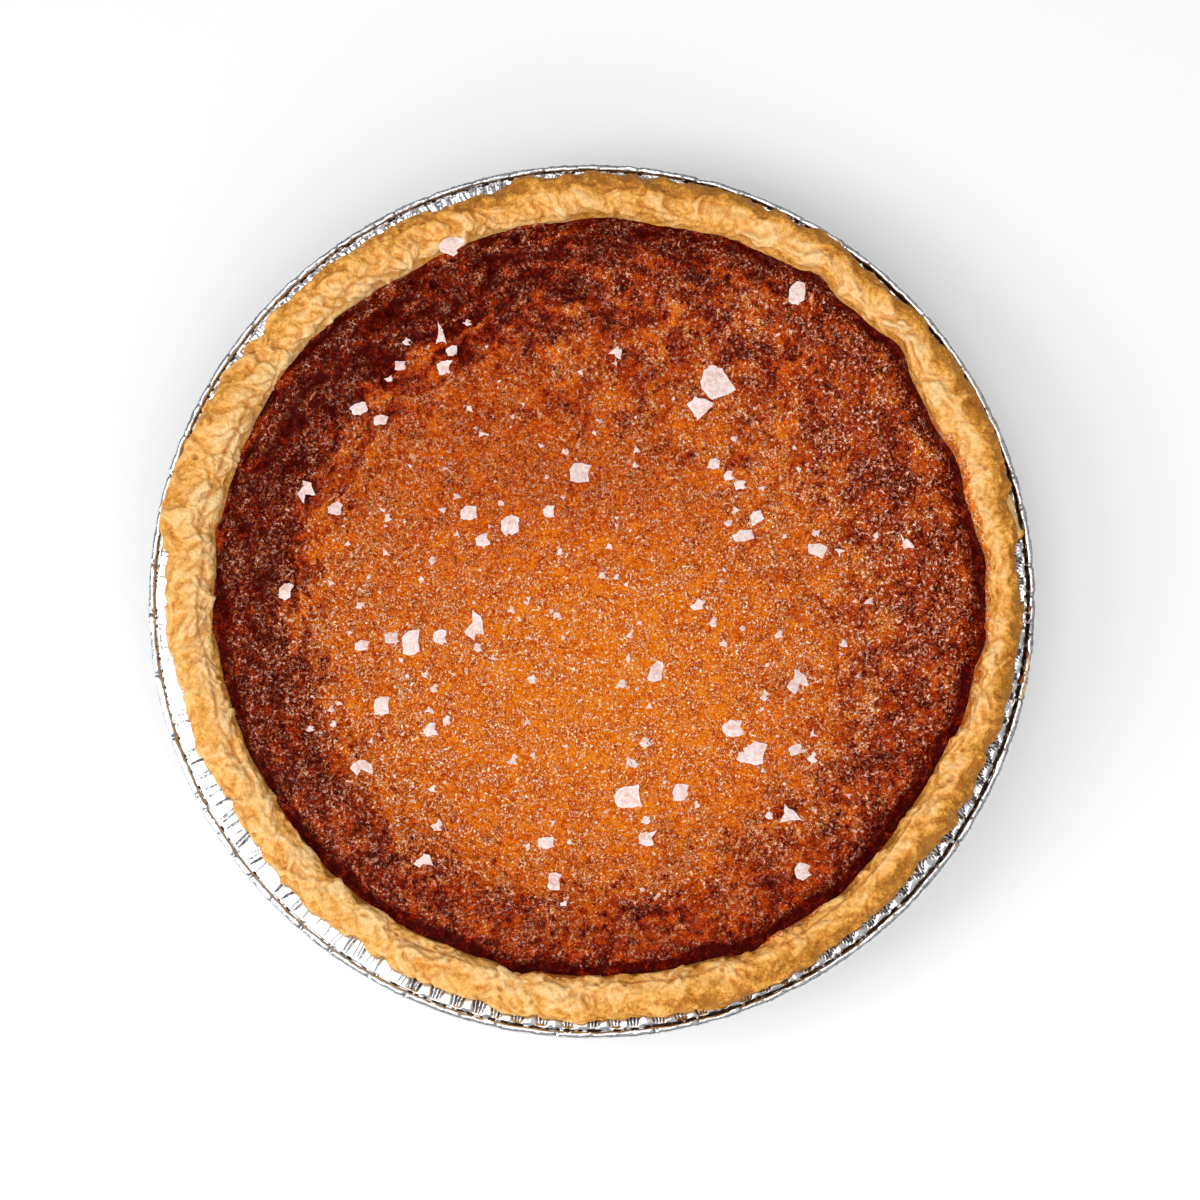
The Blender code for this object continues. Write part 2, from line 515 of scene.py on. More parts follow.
@dataclass(frozen=True)
class FoilFinish:
    """Thin bright pressed foil, finely wrinkled, with painted shade in the flange's creases and on the
    rolled edge's dented places, and dark brown dirt with painted shade in its groove.
    """

    metal: Colour = (0.86, 0.86, 0.87)
    # Painted shade: the dark bottoms of the flange's creases.
    shade: Colour = (0.085, 0.085, 0.105)
    # Painted shade of the dented places on the rolled edge.
    dent: Colour = (0.36, 0.34, 0.37)
    # Dark brown dirt and painted shade in the groove inside the rolled edge.
    grime: Colour = (0.075, 0.04, 0.025)
    roughness: float = 0.17
    wrinkle_size: float = 2.2
    wrinkle_depth: float = 0.02
    dent_size: float = 1.1
    grime_size: float = 1.7
    dimming: float = 0.93
    flange_radius: float = 118.0

    def unrolled(self, shading: Shading, place: Any, stretch: float) -> Socket:
        """The place as a length round the pie and a length outwards, in metres.

        Args:
            shading: The tree to work in.
            place: The place.
            stretch: Factor on the length outwards.

        Returns:
            The unrolled place.
        """
        split = shading.add("ShaderNodeSeparateXYZ", {0: place})
        bearing = shading.math("ARCTAN2", split.outputs[1], split.outputs[0])
        along = shading.times(bearing, self.flange_radius * MM)
        flat = shading.stretch(place, (1.0, 1.0, 0.0))
        reach = shading.add("ShaderNodeVectorMath", {0: flat}, operation="LENGTH").outputs["Value"]
        inputs = {0: along, 1: shading.times(reach, stretch)}
        return shading.add("ShaderNodeCombineXYZ", inputs).outputs["Vector"]

    def material(self) -> Material:
        """Makes the foil's material."""
        shading = Shading("pressed_foil")
        place = shading.place()
        coarse = shading.noise(place, self.wrinkle_size * 3, 2.0, 0.6)
        fine = shading.noise(place, self.wrinkle_size, 3.0)
        # Painted shade along the bottoms of the flange's creases.
        pinch = shading.sway(shading.noise(place, 0.9, 2.0), 0.8, shading.mark("pinched"))
        pinch = shading.between(pinch, 0.25, 0.75)
        # Painted shade: grey spots for the dented places on the rolled edge, and on the flange round
        # 118°.
        dents = shading.noise(self.unrolled(shading, place, 1.5), self.dent_size, 2.0, 0.4)
        dents = shading.times(shading.between(dents, 0.5, 0.6), shading.mark("dulled"))
        dimmed = tuple(self.dimming * channel for channel in self.metal)
        metal = shading.blend(shading.between(coarse, 0.3, 0.7), self.metal, dimmed)
        metal = shading.blend(dents, metal, self.dent)
        metal = shading.blend(pinch, metal, self.shade)
        # Dark brown dirt and painted shade in the groove, broken into dashes.
        groove = shading.mark("groove")
        broken = shading.noise(self.unrolled(shading, place, 1.0), self.grime_size, 3.0)
        grimy = shading.between(shading.sway(broken, 2.6, groove), 0.42, 0.58)
        grimy = shading.times(grimy, shading.between(groove, 0.02, 0.12))
        metal = shading.blend(grimy, metal, self.grime)
        height = shading.math("MULTIPLY_ADD", coarse, 2.0, fine)
        height = shading.math("MULTIPLY_ADD", pinch, -3.0, height)
        normal = shading.relief(height, self.wrinkle_depth)
        rough = shading.between(fine, 0.3, 0.75, self.roughness - 0.06, self.roughness + 0.08)
        return shading.finish(Base_Color=metal, Metallic=1.0, Roughness=rough, Normal=normal)


@dataclass(frozen=True)
class PastryFinish:
    """Baked shortcrust: pale and golden lumps, browned edges, bubbled honey along its inner side, with
    painted light and shade on its lumps, cracks and hollows, and painted glints on the honey.
    """

    cream: Colour = paint(244, 206, 148)
    pale: Colour = paint(243, 195, 124)
    gold: Colour = paint(241, 178, 91)
    amber: Colour = paint(212, 146, 52)
    brown: Colour = paint(164, 108, 34)
    # Painted shade of cracks, seams and hollows; also the freckles' colour.
    seam: Colour = paint(176, 96, 26)
    blush: Colour = paint(236, 150, 60)
    honey: Colour = paint(220, 110, 12)
    crust: Colour = paint(150, 54, 8)
    glint: Colour = paint(255, 228, 176)
    roughness: float = 0.6

    def material(self) -> Material:
        """Makes the pastry's material."""
        shading = Shading("baked_shortcrust")
        place = shading.place()
        broad = shading.noise(place, 7.0, 3.0, 0.4)
        middle = shading.noise(place, 2.6, 3.0, 0.5)
        fine = shading.noise(place, 0.8, 2.0)
        # Browning, with painted light and shade on the lumps, the right side and the inner edge round
        # 135°.
        toast = shading.sway(broad, 0.5, shading.mark("toast"))
        toast = shading.sway(fine, 1.0, shading.sway(middle, 0.7, toast))
        tones = (self.cream, self.pale, self.gold, self.amber, self.brown)
        stops = [(step / (len(tones) - 1), tone) for step, tone in enumerate(tones)]
        spots = shading.between(shading.noise(place, 1.6, 2.0, 0.8), 0.54, 0.66, 0.0, 0.45)
        colour = shading.blend(spots, shading.ramp(toast, stops), self.blush)
        freckle = shading.between(shading.bubbles(place, 1.7), 0.16, 0.06, 0.0, 0.7)
        freckle = shading.times(freckle, shading.between(middle, 0.42, 0.6))
        # Painted shade of the cracks, and random freckles of the same colour.
        crack = shading.most(shading.times(shading.mark("crack"), 0.7), freckle)
        colour = shading.blend(crack, colour, self.seam)
        ragged = shading.noise(place, 1.5, 3.0, 0.6)
        stain = shading.between(shading.times(shading.mark("stain"), ragged), 0.27, 0.36)
        # Painted highlights: pale glints on the bubbled honey along the inner side.
        away = shading.math("ABSOLUTE", shading.swing(shading.noise(place, 0.8, 0.0, 1.0)))
        froth = shading.times(shading.between(away, 0.08, 0.04), shading.between(ragged, 0.5, 0.56))
        syrup = shading.blend(shading.between(middle, 0.5, 0.62), self.honey, self.blush)
        specks = shading.between(shading.noise(place, 0.7, 1.0), 0.57, 0.66)
        syrup = shading.blend(specks, syrup, self.crust)
        syrup = shading.blend(froth, syrup, self.glint)
        colour = shading.blend(stain, colour, syrup)
        rough = shading.math("MULTIPLY_ADD", stain, -0.25, self.roughness)
        pitting = shading.bubbles(place, 1.2, "SMOOTH_F1")
        height = shading.math("MULTIPLY_ADD", pitting, 0.5, fine)
        normal = shading.relief(height, 0.3, shading.relief(middle, 0.9))
        return shading.finish(
            Base_Color=colour,
            Roughness=rough,
            Normal=normal,
            Specular_IOR_Level=0.2,
            Subsurface_Weight=0.12,
            Subsurface_Radius=(1.0, 0.5, 0.2),
            Subsurface_Scale=0.002,
        )


@dataclass(frozen=True)
class HoneyFinish:
    """Baked honey custard: amber in the middle, dark at the edge, with painted highlights: pale curls
    of glint on its bubbles.
    """

    tones: tuple[tuple[float, Colour], ...] = (
        (0.0, paint(222, 116, 3)),
        (0.14, paint(204, 87, 1)),
        (0.34, paint(180, 64, 1)),
        (0.55, paint(148, 40, 1)),
        (0.78, paint(102, 15, 0)),
        (1.0, paint(62, 3, 0)),
    )
    # Painted highlights: the glints' colours in the middle and on the dark ring.
    froth: Colour = paint(255, 240, 214)
    dull_froth: Colour = paint(244, 164, 78)
    ring_froth: Colour = paint(246, 208, 190)
    dull_ring_froth: Colour = paint(196, 98, 36)
    # Colours of the specks and of the painted glow round the highlights.
    foam: Colour = paint(242, 152, 40)
    ring_foam: Colour = paint(180, 76, 12)
    curl_size: float = 1.6
    hook_size: float = 1.2
    barb_size: float = 0.85
    dot_size: float = 0.9

    def curls(
        self, shading: Shading, place: Any, size: float, gap: float, patches: Any
    ) -> tuple[Socket, Socket]:
        """Painted highlights: short bent lines of glint, each with a dim painted glow round it.

        Args:
            shading: The tree that they are drawn in.
            place: Where they are read.
            size: How far apart they lie, in millimetres.
            gap: The share of each line that is left out.
            patches: Where they lie close, 0 to 1.

        Returns:
            How much of a line shows, and how much of the glow round it, 0 to 1.
        """
        away = shading.math("ABSOLUTE", shading.swing(shading.noise(place, size, 0.0, 1.2)))
        aside = shading.stretch(place, (1.17, 0.88, 1.0))
        low = shading.math("MULTIPLY_ADD", patches, -0.1, gap + 0.08)
        high = shading.math("ADD", low, 0.03)
        window = shading.between(shading.noise(aside, size * 0.8, 0.0), low, high)
        line = shading.times(shading.between(away, 0.056, 0.04), window)
        return line, shading.times(shading.between(away, 0.15, 0.075), window)

    def froth_share(self, shading: Shading, place: Any) -> tuple[Socket, Socket]:
        """Painted highlights: thin pale curls, hooks and dots of glint on the bubbles.

        Args:
            shading: The tree that they are drawn in.
            place: Where they are read.

        Returns:
            How much painted highlight shows, and how much of the painted glow round it, 0 to 1.
        """
        baked = shading.between(shading.mark("roast"), 0.25, 0.6)
        patches = shading.between(shading.noise(place, 6.0, 3.0, 0.5), 0.36, 0.6)
        curl, curl_glow = self.curls(shading, place, self.curl_size, 0.53, patches)
        curl = shading.times(curl, baked)
        hooked = shading.stretch(place, (0.93, 1.09, 1.0))
        hook, hook_glow = self.curls(shading, hooked, self.hook_size, 0.56, patches)
        barbed = shading.stretch(place, (1.06, 0.97, 1.0))
        barb, _ = self.curls(shading, barbed, self.barb_size, 0.51, patches)
        barb = shading.times(barb, shading.between(baked, 0.0, 1.0, 1.0, 0.25))
        cell = shading.bubbles(place, self.dot_size)
        gaps = shading.between(shading.noise(place, 2.4, 2.0, 0.5), 0.53, 0.6)
        dot = shading.times(shading.between(cell, 0.24, 0.16), gaps)
        line = shading.most(curl, hook, barb, dot)
        glow = shading.times(shading.most(curl_glow, hook_glow), baked)
        spread = shading.mark("froth")
        return shading.times(line, spread), shading.times(glow, spread)

    def material(self) -> Material:
        """Makes the filling's material."""
        shading = Shading("baked_honey_custard")
        place = shading.place()
        patch = shading.noise(place, 6.0, 3.0, 0.5)
        grain = shading.noise(place, 1.6, 2.0, 0.4)
        fine = shading.noise(place, 0.6, 1.0)
        froth, glow = self.froth_share(shading, place)
        # Baking, with painted shade in the groove, folds and bubbles.
        roast = shading.mark("roast")
        baked = shading.between(roast, 0.3, 0.75)
        for noise, amount in ((patch, 0.75), (grain, 0.9), (fine, 1.1)):
            roast = shading.sway(noise, amount, roast)
        streak = shading.noise(shading.stretch(place, (1.5, 0.75, 1.0)), 3.2, 2.0, 0.8)
        streak = shading.times(shading.swing(streak), baked)
        roast = shading.math("MULTIPLY_ADD", streak, 0.9, roast)
        colour = shading.ramp(roast, self.tones)
        # Pale specks, and the painted glow round the highlights, in the same colours.
        foam = shading.between(shading.noise(place, 0.45, 0.0, 0.9), 0.63, 0.67, 0.0, 0.8)
        foam = shading.most(shading.times(foam, shading.mark("froth")), shading.times(glow, 0.75))
        colour = shading.blend(foam, colour, shading.blend(baked, self.foam, self.ring_foam))
        bright = shading.between(shading.noise(place, 0.9, 1.0), 0.43, 0.58)
        tint = shading.blend(
            baked,
            shading.blend(bright, self.dull_froth, self.froth),
            shading.blend(bright, self.dull_ring_froth, self.ring_froth),
        )
        # Painted highlights laid over the custard's colour.
        colour = shading.blend(froth, colour, tint)
        height = shading.math("MULTIPLY_ADD", fine, 0.5, grain)
        height = shading.math("MULTIPLY_ADD", froth, 0.35, height)
        normal = shading.relief(height, 0.35)
        return shading.finish(
            Base_Color=colour,
            Roughness=0.5,
            Specular_IOR_Level=0.02,
            Normal=normal,
            Coat_Weight=0.08,
            Coat_Roughness=0.06,
            Coat_IOR=1.3,
            Coat_Normal=normal,
        )


@dataclass(frozen=True)
class SaltFinish:
    """Flaky salt: a pale, slightly rosy, half clear crystal, whiter along its edges."""

    crystal: Colour = paint(252, 230, 224)
    rosy: Colour = paint(234, 188, 178)
    rim: Colour = paint(255, 250, 248)

    def material(self) -> Material:
        """Makes the salt's material."""
        shading = Shading("flaky_salt")
        place = shading.place()
        cloud = shading.noise(place, 1.3, 2.0, 0.8)
        grain = shading.noise(place, 0.7, 1.0)
        colour = shading.blend(shading.between(cloud, 0.4, 0.68), self.crystal, self.rosy)
        colour = shading.blend(shading.times(shading.mark("rim"), 0.6), colour, self.rim)
        return shading.finish(
            Base_Color=colour,
            Roughness=shading.between(grain, 0.3, 0.7, 0.25, 0.45),
            Normal=shading.relief(grain, 0.04),
            Transmission_Weight=0.12,
            IOR=1.4,
        )


@dataclass(frozen=True)
class DripFinish:
    """Run honey, dried on the foil."""

    name: str = "dried_honey"
    amber: Colour = paint(170, 84, 20)
    dark: Colour = paint(92, 30, 6)

    def material(self) -> Material:
        """Makes the drips' material."""
        shading = Shading(self.name)
        place = shading.place()
        cloud = shading.noise(place, 1.5, 2.0)
        colour = shading.blend(shading.between(cloud, 0.35, 0.65), self.amber, self.dark)
        normal = shading.relief(cloud, 0.2)
        return shading.finish(
            Base_Color=colour,
            Roughness=0.2,
            Coat_Weight=0.6,
            Coat_Roughness=0.1,
            Normal=normal,
        )


@dataclass(frozen=True)
class FloorFinish:
    """Plain pale studio floor."""

    pale: Colour = (0.93, 0.93, 0.93)
    cool: Colour = (0.92, 0.92, 0.925)

    def material(self) -> Material:
        """Makes the floor's material."""
        shading = Shading("pale_floor")
        cloud = shading.noise(shading.place(), 400.0, 2.0)
        tint = shading.blend(cloud, self.pale, self.cool)
        return shading.finish(Base_Color=tint, Roughness=0.9, Specular_IOR_Level=0.1)


@dataclass
class Viewpoint:
    """The camera: where the photograph was taken from, and where its pixels fall on the pie."""

    elevation_deg: float = 80.2
    distance: float = 1000.0
    lens: float = 108.75
    sensor: float = 36.0
    frame_side: int = 1200
    aim: tuple[float, float, float] = (2.2, -2.1, 31.0)

    def axes(self) -> tuple[Array, Array, Array]:
        """The camera's right, up and forward directions."""
        turn = math.radians(self.elevation_deg)
        forward = np.array([0.0, math.cos(turn), -math.sin(turn)])
        rise = np.array([0.0, math.sin(turn), math.cos(turn)])
        return np.array([1.0, 0.0, 0.0]), rise, forward

    def eye(self) -> Array:
        """The camera's place, in millimetres."""
        return np.array(self.aim) - self.axes()[2] * self.distance

    def land(self, column: float, row: float, height: Ground) -> Array:
        """Finds where the line through a pixel meets a surface.

        Args:
            column: Pixels from the frame's left side.
            row: Pixels from its top.
            height: The surface's level at an x and a y.

        Returns:
            The point, in millimetres.
        """
        right, rise, forward = self.axes()
        scale = self.sensor / self.lens / self.frame_side
        middle = self.frame_side / 2
        line = forward + right * (column - middle) * scale - rise * (row - middle) * scale
        eye = self.eye()
        level = self.aim[2]
        for _ in range(5):
            point = eye + line * ((level - eye[2]) / line[2])
            level = float(height(np.array([point[0]]), np.array([point[1]]))[0])
        return eye + line * ((level - eye[2]) / line[2])

    def place(self) -> Object:
        """Makes the camera and gives it to the scene."""
        data = bpy.data.cameras.new("studio_camera")
        data.lens = self.lens
        data.sensor_width = self.sensor
        data.clip_start = 0.05
        data.clip_end = 30.0
        camera = bpy.data.objects.new("studio_camera", data)
        camera.location = Vector(self.eye() * MM)
        camera.rotation_euler = (math.radians(90.0 - self.elevation_deg), 0.0, 0.0)
        bpy.context.scene.collection.objects.link(camera)
        bpy.context.scene.camera = camera
        return camera


@dataclass(frozen=True)
class Lamp:
    """One soft box.

    Attributes:
        name: Its name.
        place: Where its middle hangs, in millimetres.
        width: Its width, in millimetres.
        depth: Its depth, in millimetres.
        brightness: How bright its face is; 1 looks just white.
        glossy: Whether shiny surfaces mirror it.
    """

    name: str
    place: tuple[float, float, float]
    width: float
    depth: float
    brightness: float
    glossy: bool = True

    def hang(self, aim: Sequence[float]) -> Object:
        """Hangs the soft box, facing a point.

        Args:
            aim: The point, in millimetres.

        Returns:
            The lamp.
        """
        data = bpy.data.lights.new(self.name, "AREA")
        data.shape = "RECTANGLE"
        data.size = self.width * MM
        data.size_y = self.depth * MM
        data.energy = self.brightness * math.pi * data.size * data.size_y
        lamp = bpy.data.objects.new(self.name, data)
        lamp.visible_glossy = self.glossy
        lamp.location = Vector(self.place) * MM
        away = Vector(aim) - Vector(self.place)
        lamp.rotation_euler = away.to_track_quat("-Z", "Y").to_euler()
        bpy.context.scene.collection.objects.link(lamp)
        return lamp


@dataclass
class Studio:
    """Floor, sky light and soft boxes."""

    floor_side: float = 8000.0
    sky: tuple[tuple[float, float], ...] = (
        (0.0, 0.85), (0.12, 0.7), (0.32, 0.2), (0.7, 0.2), (0.88, 0.45), (1.0, 0.5),
    )
    lamps: tuple[Lamp, ...] = (
        Lamp("key_box", (-1800.0, -460.0, 1650.0), 1200.0, 1200.0, 5.2),
        Lamp("top_box", (-270.0, 150.0, 1350.0), 760.0, 760.0, 1.9),
        Lamp("fill_box", (250.0, -900.0, 1350.0), 1800.0, 1800.0, 1.75, glossy=False),
    )

    def sky_light(self) -> bpy.types.World:
        """Makes the world: pale at the horizon and overhead, darker between.

        Returns:
            The world.
        """
        world = bpy.data.worlds.new("studio_sky")
        world.use_nodes = True
        tree = world.node_tree
        place = tree.nodes.new("ShaderNodeTexCoord")
        split = tree.nodes.new("ShaderNodeSeparateXYZ")
        ramp = tree.nodes.new("ShaderNodeValToRGB")
        tree.links.new(place.outputs["Generated"], split.inputs[0])
        tree.links.new(split.outputs["Z"], ramp.inputs[0])
        elements = ramp.color_ramp.elements
        while len(elements) < len(self.sky):
            elements.new(0.5)
        for element, (height, brightness) in zip(elements, self.sky):
            element.position = height
            element.color = (brightness, brightness, brightness, 1.0)
        tree.links.new(ramp.outputs["Color"], tree.nodes["Background"].inputs["Color"])
        return world

    def build(self) -> None:
        """Lays the floor, lights the world and hangs the soft boxes."""
        half = self.floor_side / 2
        skin = Skin()
        sides = np.linspace(-half, half, 9)
        east, north = np.meshgrid(sides, sides, indexing="ij")
        skin.sheet(skin.add(np.stack([east, north, np.zeros_like(east)], axis=-1)))
        floor = skin.make("studio_floor", FloorFinish().material())
        bpy.context.scene.world = self.sky_light()
        for lamp in self.lamps:
            lamp.hang((0.0, 0.0, 30.0))
        bpy.context.scene.view_settings.view_transform = "Standard"


class Outline:
    """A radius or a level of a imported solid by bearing, joined smoothly between its lines."""

    SMOOTHING = 24

    def __init__(self, samples: Array) -> None:
        """Fills in between evenly spaced values with the waves that fit them.

        Args:
            samples: One value for each of the solid's lines, the first at bearing 0.
        """
        fine = len(samples) * self.SMOOTHING
        self.values = np.fft.irfft(np.fft.rfft(samples), fine) * self.SMOOTHING
        self.turns = bearings(fine)

    def at(self, bearing: Array) -> Array:
        """The value at each bearing."""
        return np.interp(bearing, self.turns, self.values, period=FULL_TURN)


@dataclass
class CupLine:
    """The tin's wall in section, and the walls that lie inside it.

    Attributes:
        base_radius: Radius where the wall's line would meet the table.
        mouth_radius: Radius at the mouth.
        depth: Height of the mouth above the table.
        corner: Radius of the corner between floor and wall.
    """

    base_radius: float = 93.5
    mouth_radius: float = 111.0
    depth: float = 30.0
    corner: float = 5.0

    def radius(self, level: float | Array, inset: float = 0.0) -> float | Array:
        """Radius of the straight wall at a level, inset square to the tin's outer face."""
        lean = (self.mouth_radius - self.base_radius) / self.depth
        return self.base_radius + lean * level - inset * math.hypot(1.0, lean)

    def bend(self, floor: float, inset: float, points: int) -> list[tuple[float, float]]:
        """Points round the corner, from the floor to the wall.

        Args:
            floor: Level of the floor.
            inset: How far inside the tin's outer face.
            points: How many points to give.

        Returns:
            Radius and level of each point.
        """
        start = self.radius(floor, inset) - self.corner
        top = floor + self.corner * 0.8
        end = self.radius(top, inset)
        knee = self.radius(floor, inset)
        places = []
        for share in np.linspace(0.0, 1.0, points):
            radius = (1 - share) ** 2 * start + 2 * share * (1 - share) * knee + share**2 * end
            level = (1 - share) ** 2 * floor + 2 * share * (1 - share) * floor + share**2 * top
            places.append((float(radius), float(level)))
        return places


class Creasing(Enum):
    """How the foil of the flange is creased on one stretch."""

    LINED = "fine lines in pairs"
    CRINKLED = "close fine crinkles"
    PANELLED = "flat panels between pleats"
    FANNED = "bunches that fan out from the rolled edge"


@dataclass(frozen=True)
class Crease:
    """One fold across the flange.

    Attributes:
        foot: Bearing where it leaves the rolled edge.
        lean: How far it moves sideways for each millimetre inwards.
        half_width: Half its width.
        height: How high it stands, or how deep it lies if negative.
        fade: How much weaker it is beside the rolled edge, 0 to 1.
        bow: How far it bends sideways, for each square millimetre inwards.
        dark: How much painted shade lies along its bottom, 0 to 1.
        stroke: Half the width of that painted shade.
    """

    foot: float
    lean: float
    half_width: float
    height: float
    fade: float = 0.0
    bow: float = 0.0
    dark: float = 0.0
    stroke: float = 0.3


@dataclass
class FoilTin:
    """The foil tin: floor, pleated wall, creased flange and rolled edge."""

    wall: CupLine
    rim_radius: float
    foil: float = 0.35
    pleats: int = 42
    pleat_depth: float = 0.8
    throat_radius: float = 112.0
    throat_level: float = 30.6
    flange_slope: float = 0.03
    rim_top: float = 31.87
    foot_radius: float = 119.6
    groove_radius: float = 120.2
    fade_reach: float = 3.2
    underside_radii: tuple[float, ...] = (30.0, 70.0)
    wall_foot: float = 6.0
    wall_head: float = 28.8
    wall_rings: int = 14
    back_radii: tuple[float, ...] = (112.4, 115.0, 118.0, 119.4)
    flange_rings: int = 13
    lining_levels: tuple[float, ...] = (29.0, 20.0, 10.0)
    floor_radius: float = 40.0
    coarse_steps: int = 630
    fine_steps: int = 2520
    seed: int = 7
    stretches: tuple[tuple[float, float, Creasing], ...] = (
        (20.0, 100.0, Creasing.CRINKLED),
        (100.0, 152.0, Creasing.CRINKLED),
        (152.0, 246.0, Creasing.LINED),
        (246.0, 296.0, Creasing.PANELLED),
        (296.0, 380.0, Creasing.FANNED),
    )
    finish: FoilFinish = FoilFinish()

    def creases(self) -> list[Crease]:
        """Draws the folds of every stretch of the flange."""
        draw = np.random.default_rng(self.seed)
        folds: list[Crease] = []
        for start_deg, end_deg, kind in self.stretches:
            bearing = math.radians(start_deg)
            while bearing < math.radians(end_deg):
                step, group = self.bunch(kind, bearing, draw)
                folds += group
                bearing += step / self.foot_radius
        return folds

    def bunch(
        self, kind: Creasing, bearing: float, draw: np.random.Generator
    ) -> tuple[float, list[Crease]]:
        """Draws one group of folds.

        Args:
            kind: How this stretch is creased.
            bearing: Where the group stands.
            draw: Source of chance.

        Returns:
            Millimetres to the next group, and the folds.
        """
        foot = self.foot_radius
        if kind is Creasing.LINED:
            gap = draw.uniform(0.9, 1.3) / foot
            lean = draw.normal(0.0, 0.1)
            bow = draw.normal(0.0, 0.012)
            count = int(draw.choice([1, 1, 2, 3]))
            depth = draw.uniform(0.1, 0.25)
            slight = 0.55 if bearing < math.radians(198.0) else 1.0
            lines = []
            for line in range(count):
                dark = slight * draw.uniform(0.15, 0.8)
                low = -depth * draw.uniform(0.6, 1.0)
                width = slight * draw.uniform(0.14, 0.32)
                lines.append(Crease(bearing + line * gap, lean, 0.36, low, 0.4, bow, dark, width))
            return draw.uniform(1.6, 3.6) + 0.6 * count, lines
        if kind is Creasing.CRINKLED:
            height = draw.choice([-1.0, 1.0]) * draw.uniform(0.12, 0.34)
            dark = draw.uniform(0.0, 0.7) if height < 0 else 0.0
            fold = Crease(bearing, draw.normal(0.0, 0.2), 0.5, height, dark=dark, stroke=0.2)
            return draw.uniform(0.8, 1.5), [fold]
        if kind is Creasing.PANELLED:
            folds = [Crease(bearing + 3.4 / foot, draw.normal(0.0, 0.1), 2.4, draw.uniform(0.08, 0.2))]
            for fold in range(4):
                place = bearing + (fold - 1.5) * 0.75 / foot
                lean = (fold - 1.5) * 0.12
                low = -draw.uniform(0.12, 0.34)
                dark = draw.uniform(0.5, 1.0)
                folds.append(Crease(place, lean, 0.36, low, fade=0.3, dark=dark, stroke=0.24))
            return draw.uniform(5.0, 7.5), folds
        folds = [Crease(bearing + 3.2 / foot, 0.0, 2.6, draw.uniform(0.15, 0.35))]
        for fold in range(9):
            lean = (fold - 4) * 0.3 + draw.normal(0.0, 0.04)
            height = (0.3 if fold % 2 else -0.3) * draw.uniform(0.6, 1.1)
            dark = 0.0 if fold % 2 else draw.uniform(0.7, 1.0)
            folds.append(Crease(bearing, lean, 0.36, height, dark=dark, stroke=0.08))
        return draw.uniform(5.5, 7.5), folds

    @staticmethod
    def worn_side(turns: Array) -> Array:
        """How near each bearing lies to the right side, where the flange is most wrinkled and carries
        most painted shade: 0 to 1.
        """
        return np.maximum(hump(turns, 350, 38), hump(turns, 20, 30))

    def crumple(self, radii: Array) -> tuple[Array, Array]:
        """Lifts and dents the flange by its folds.

        Args:
            radii: Radius of each ring of the flange.

        Returns:
            Heights and the painted shade along the folds' bottoms, with a row for each ring and a
            column for each step.
        """
        turns = bearings(self.fine_steps)
        heights = np.zeros((len(radii), self.fine_steps))
        shades = np.zeros_like(heights)
        step = FULL_TURN / self.fine_steps
        inward = self.foot_radius - radii[:, None]
        for fold in self.creases():
            most = float(inward.max())
            reach = fold.half_width + abs(fold.lean) * most + abs(fold.bow) * most * most
            first = int((fold.foot - reach / self.foot_radius) / step) - 1
            last = int((fold.foot + reach / self.foot_radius) / step) + 2
            columns = np.arange(first, last + 1)
            aside = (columns * step - fold.foot) * self.foot_radius
            aside = aside - fold.lean * inward - fold.bow * inward**2
            faded = fold.fade * np.clip(1.0 - inward / self.fade_reach, 0.0, 1.0)
            strength = fold.height * (1.0 - faded)
            places = columns % self.fine_steps
            heights[:, places] += strength * np.clip(1 - np.abs(aside) / fold.half_width, 0, 1)
            # Painted shade: a dark stroke along each fold's bottom, wider further in from the rolled
            # edge.
            slim = 0.18 + 0.8 * fold.stroke * np.clip(inward / 1.8, 0.0, 1.0)
            shade = fold.dark * np.clip(1.5 - np.abs(aside) / slim, 0, 1)
            shade = shade * np.clip(0.4 + inward, 0.0, 1.0)
            shades[:, places] = np.maximum(shades[:, places], shade)
        waves = Grain(self.seed + 1)
        share = turns / FULL_TURN
        calm = 1.0 - 0.8 * hump(turns, 200, 45)
        heights += 0.16 * calm * waves.smooth(share * 90, radii[:, None] / 6.0, 90)
        right = self.worn_side(turns)
        heights += 0.16 * right * waves.smooth(share * 130, 20 + radii[:, None] / 2.4, 130)
        return heights * ease(111.5, 117.5, radii)[:, None], shades

    def rolled_edge(self) -> list[tuple[float, float, float]]:
        """The rolled edge in section, from its top down: radius, level and how dented it is."""
        outer = self.rim_radius
        return [
            (outer - 2.75, 30.84, 0.2),
            (outer - 2.45, 30.8, 0.4),
            (outer - 2.2, 30.74, 0.6),
            (outer - 2.05, 31.05, 0.9),
            (outer - 1.9, 31.6, 1.0),
            (outer - 1.65, 31.82, 1.0),
            (outer - 1.1, self.rim_top, 1.0),
            (outer - 0.6, 31.83, 1.0),
            (outer - 0.32, 31.66, 1.0),
            (outer - 0.12, 31.2, 0.9),
            (outer - 0.1, 30.4, 0.7),
            (outer - 0.5, 29.95, 0.5),
            (outer - 1.2, 29.8, 0.3),
            (outer - 1.9, 30.0, 0.2),
        ]

